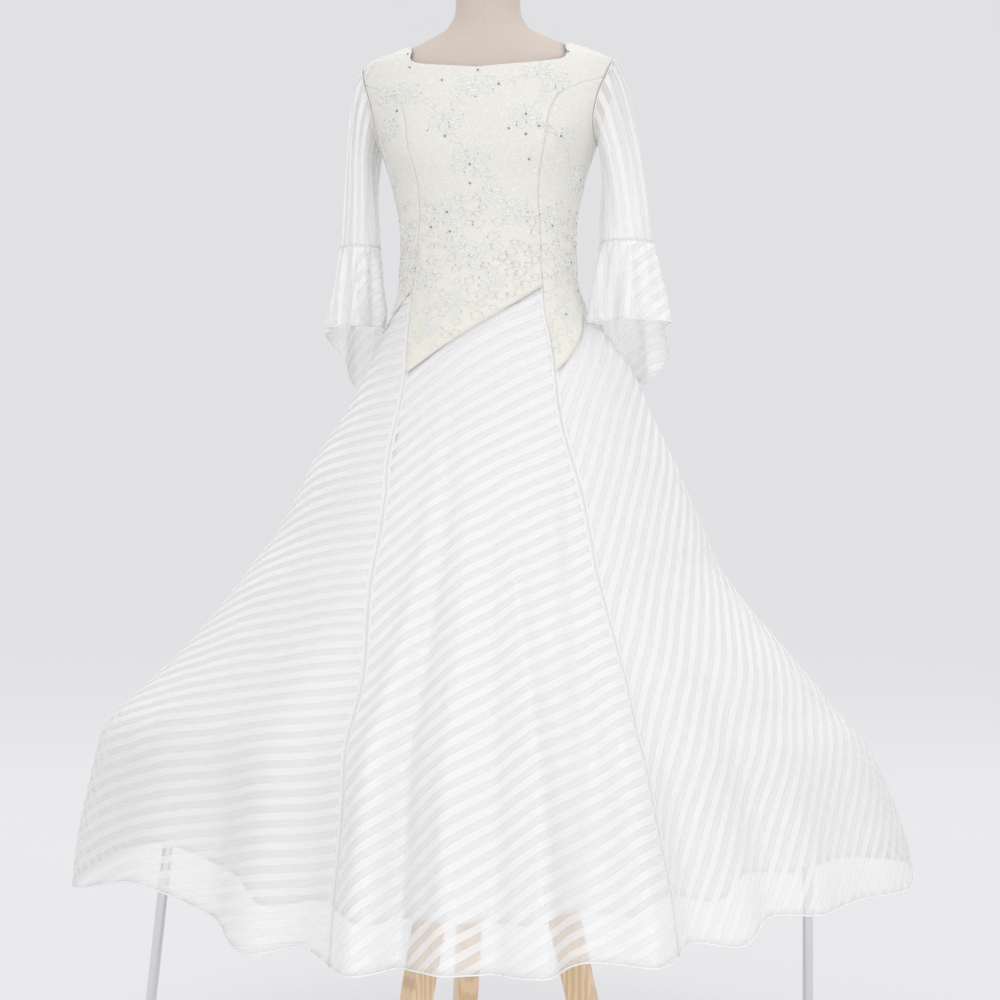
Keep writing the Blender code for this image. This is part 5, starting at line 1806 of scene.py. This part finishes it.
class DRESS_OT_form(bpy.types.Operator):
    """Linen-covered torso that carries the dress"""

    bl_idname = "dress.form"
    bl_label = "Form"

    def execute(self, context):
        count = 96
        angles = [360 * i / count for i in range(count)]
        rings = []
        for height in np.linspace(FORM_TOP - 0.003, 1.142, 90):
            height = float(height)
            ring = []
            for angle in angles:
                groove = 0.0007 * math.exp(-((wrapped(angle) / 1.2) ** 2))
                groove += 0.0007 * math.exp(-((wrapped(angle - 180) / 1.2) ** 2))
                ring.append(offset_body(angle, height, -FORM_INSET_AT(height) - groove))
            rings.append(ring)
        top = []
        for share in (0.55, 0.86, 0.97):
            top.append([Vector((p.x * share + AXIS_X * (1 - share), p.y * share, FORM_TOP)) for p in rings[0]])
        rings[0:0] = top
        for height in np.linspace(1.138, FORM_BOTTOM, 16):
            height = float(height)
            ring = []
            for angle in angles:
                sin, cos = math.sin(math.radians(angle)), math.cos(math.radians(angle))
                deep = FORM_HIP_AT["front" if cos > 0 else "back"](height)
                ring.append(turned(FORM_HIP_AT["side"](height) * sin, -deep * cos, height))
            rings.append(ring)
        made = closed_surface("linen_form", rings, linen_cover())
        finish_piece(made, "linen", "form_torso")
        return {"FINISHED"}


class DRESS_OT_stands(bpy.types.Operator):
    """Varnished pine stand and two polished side stands"""

    bl_idname = "dress.stands"
    bl_label = "Stands"

    def execute(self, context):
        wood = pine_wood()
        for name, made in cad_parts.items():
            if name.startswith("stand_"):
                for slot in made.material_slots:
                    slot.material = wood
        chrome = metal("polished_chrome", (0.80, 0.81, 0.83), 0.07)
        for name, (foot_x, rest_x, y, rest_top) in SIDE_STANDS.items():
            profile = [(0.0, 0.0), (SIDE_BASE_RADIUS - 0.001, 0.0), (SIDE_BASE_RADIUS, 0.001)]
            profile += [(SIDE_BASE_RADIUS, SIDE_BASE_THICK - 0.002), (SIDE_BASE_RADIUS - 0.002, SIDE_BASE_THICK)]
            profile += [(0.022, SIDE_BASE_THICK + 0.0005), (0.014, SIDE_BASE_THICK + 0.004)]
            profile += [(0.0115, SIDE_BASE_THICK + 0.012), (SIDE_ROD_RADIUS, SIDE_BASE_THICK + 0.015)]
            low = rest_top - SIDE_REST_THICK
            profile += [(SIDE_ROD_RADIUS, low - 0.016), (0.0115, low - 0.012), (0.014, low - 0.003), (0.02, low)]
            profile += [(SIDE_REST_RADIUS - 0.002, low), (SIDE_REST_RADIUS, low + 0.002)]
            profile += [(SIDE_REST_RADIUS, rest_top - 0.002), (SIDE_REST_RADIUS - 0.002, rest_top), (0.0, rest_top)]
            count = 64
            rings = []
            for radius, height in reversed(profile[1:-1]):
                share = min(max((height - SIDE_BASE_THICK) / (low - SIDE_BASE_THICK), 0), 1)
                centre = AXIS_X + foot_x + (rest_x - foot_x) * share
                rings.append(
                    [
                        (centre + radius * math.cos(math.tau * i / count), AXIS_Y + y + radius * math.sin(math.tau * i / count), height)
                        for i in range(count)
                    ]
                )
            made = closed_surface("chrome_stand_" + name, rings, chrome)
            made.data.set_sharp_from_angle(angle=math.radians(30))
            finish_piece(made, "chrome", "side_stand_" + name)
        return {"FINISHED"}


class DRESS_OT_zip(bpy.types.Operator):
    """Zip up the centre of the back, with its coil, slider and pull"""

    bl_idname = "dress.zip"
    bl_label = "Zip"

    def execute(self, context):
        low = tooth_point("back", tooth_share("back", 180.0))[1]
        high = NECK_BACK_AT(180)
        rows = []
        for level in np.linspace(high, low, 90):
            level = float(level)
            reach = math.degrees(ZIP_HALF_WIDE / SECTION["left"](level))
            rows.append([tuple(offset_body(180 + reach * step / 4, level, -0.0003)) for step in range(-4, 5)])
        tape = surface_object("zip_tape", rows, False, lining_cloth_tape(), 0.0008)
        finish_piece(tape, "zip_tape", "back_zip")
        coils = []
        for level in np.arange(low + 0.003, high - 0.001, 0.0016):
            level = float(level)
            reach = math.degrees(0.0013 / SECTION["left"](level))
            coils.append(
                [
                    tuple(offset_body(180 - reach, level - 0.0003, -0.0002)),
                    tuple(offset_body(180, level, 0.0003)),
                    tuple(offset_body(180 + reach, level + 0.0003, -0.0002)),
                ]
            )
        coil = tube_mesh("zip_coil", coils, 0.0004, lace_cord(), 4)
        finish_piece(coil, "zip_tape")
        nickel = metal("nickel", (0.72, 0.71, 0.68), 0.16)
        for name in ("zip_slider", "zip_pull"):
            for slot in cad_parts[name].material_slots:
                slot.material = nickel
        return {"FINISHED"}


def lining_cloth_tape():
    found = bpy.data.materials.get("zip_tape")
    if found:
        return found
    made, tree, shader, place = fresh_material("zip_tape", 0.7)
    thread = woven(tree, place, 700.0)
    colour = mix_colours(
        tree, thread.outputs["Slub"], tuple(colours().ivory), tuple(c * 0.94 for c in colours().ivory), -300, 100
    )
    tree.links.new(colour, shader.inputs["Base Color"])
    bump(tree, thread.outputs["Height"], 0.4, 0.0003, shader)
    return made


# Studio


def area_light(name, place, target, size, power):
    data = bpy.data.lights.new(name, "AREA")
    data.shape = "RECTANGLE"
    data.size, data.size_y = size
    data.energy = power
    made = link(bpy.data.objects.new(name, data))
    made.location = place
    made.rotation_euler = (Vector(target) - Vector(place)).to_track_quat("-Z", "Y").to_euler()
    return made


class DRESS_OT_studio(bpy.types.Operator):
    """Pale seamless floor and wall, soft lights and the camera"""

    bl_idname = "dress.studio"
    bl_label = "Studio"

    def execute(self, context):
        scene = context.scene
        reach, rise, bend, count = 7.5, 4.0, 2.0, 72
        line = [(0.6, 0.0), (2.5, 0.0), (reach - bend, 0.0)]
        for i in range(1, 13):
            turn = math.pi / 2 * i / 12
            line.append((reach - bend + bend * math.sin(turn), bend * (1 - math.cos(turn))))
        line.append((reach, rise))
        verts = [(0.0, 0.0, -0.0005)]
        for radius, height in line:
            for i in range(count):
                turn = math.tau * i / count
                verts.append((radius * math.cos(turn), radius * math.sin(turn), height - 0.0005))
        faces = [(0, 1 + i, 1 + (i + 1) % count) for i in range(count)]
        for ring in range(len(line) - 1):
            for i in range(count):
                j = (i + 1) % count
                low, high = 1 + ring * count, 1 + (ring + 1) * count
                faces.append((low + i, high + i, high + j, low + j))
        mesh = bpy.data.meshes.new("backdrop")
        mesh.from_pydata(verts, [], faces)
        mesh.shade_smooth()
        made, tree, shader, place = fresh_material("backdrop_paper", 0.9)
        tone = noise(tree, place, 1.5, 2.0, -600, 0)
        colour = mix_colours(tree, tone, (0.14, 0.14, 0.143), (0.15, 0.15, 0.153), -300, 0)
        tree.links.new(colour, shader.inputs["Base Color"])
        shader.inputs["Emission Color"].default_value = (0.95, 0.95, 0.97, 1)
        shader.inputs["Emission Strength"].default_value = 0.67
        made.cycles.emission_sampling = "NONE"
        mesh.materials.append(made)
        paper = link(bpy.data.objects.new("backdrop", mesh))
        area_light("key", (-2.2, -3.2, 3.2), (0, 0, 0.8), (2.2, 2.2), 44)
        area_light("fill", (2.8, -3.0, 1.8), (0, 0, 0.8), (2.4, 2.4), 33)
        area_light("low", (0.4, -3.6, 0.9), (0.1, 0, 0.35), (2.6, 1.2), 9)
        area_light("top", (0.3, 0.6, 4.2), (0, 0.2, 0.6), (3.0, 2.0), 40)
        area_light("back_left", (-2.6, 3.0, 2.6), (0, 0, 0.8), (1.6, 2.0), 22)
        area_light("back_right", (2.6, 3.0, 2.6), (0, 0, 0.8), (1.6, 2.0), 22)
        world = bpy.data.worlds.new("studio")
        world.use_nodes = True
        world.node_tree.nodes["Background"].inputs["Color"].default_value = (0.97, 0.98, 1.0, 1)
        world.node_tree.nodes["Background"].inputs["Strength"].default_value = 0.55
        scene.world = world
        camera = bpy.data.cameras.new("camera")
        camera.lens = CAMERA_LENS
        camera.sensor_width = SENSOR
        seen = link(bpy.data.objects.new("camera", camera))
        seen.location = CAMERA_PLACE
        seen.rotation_euler = (math.pi / 2, 0, 0)
        scene.camera = seen
        scene.view_settings.view_transform = "Standard"
        scene.cycles.transparent_max_bounces = 24
        scene.cycles.max_bounces = 1
        scene.cycles.diffuse_bounces = 1
        scene.cycles.glossy_bounces = 1
        return {"FINISHED"}


class DRESS_PT_panel(bpy.types.Panel):
    """Sizes, colours and pieces of the dress"""

    bl_idname = "DRESS_PT_panel"
    bl_label = "Ballroom dress"
    bl_space_type = "VIEW_3D"
    bl_region_type = "UI"
    bl_category = "Dress"

    def draw(self, context):
        for group in (context.scene.dress_sizes, context.scene.dress_colours):
            for name in group.bl_rna.properties.keys():
                if name not in ("rna_type", "name"):
                    self.layout.prop(group, name)
        for operator in OPERATORS:
            self.layout.operator(operator.bl_idname)


OPERATORS = (
    DRESS_OT_form,
    DRESS_OT_stands,
    DRESS_OT_bodice,
    DRESS_OT_lace_flowers,
    DRESS_OT_stones,
    DRESS_OT_zip,
    DRESS_OT_underskirt,
    DRESS_OT_skirt,
    DRESS_OT_sleeves,
    DRESS_OT_flounces,
    DRESS_OT_studio,
)
CLASSES = (DressSizes, DressColours) + OPERATORS + (DRESS_PT_panel,)


def register():
    for found in CLASSES:
        bpy.utils.register_class(found)
    bpy.types.Scene.dress_sizes = bpy.props.PointerProperty(type=DressSizes)
    bpy.types.Scene.dress_colours = bpy.props.PointerProperty(type=DressColours)


def unregister():
    del bpy.types.Scene.dress_colours
    del bpy.types.Scene.dress_sizes
    for found in reversed(CLASSES):
        bpy.utils.unregister_class(found)


def main():
    register()
    for operator in OPERATORS:
        category, name = operator.bl_idname.split(".")
        getattr(getattr(bpy.ops, category), name)()
    bpy.context.view_layer.update()


if __name__ == "__main__":
    main()
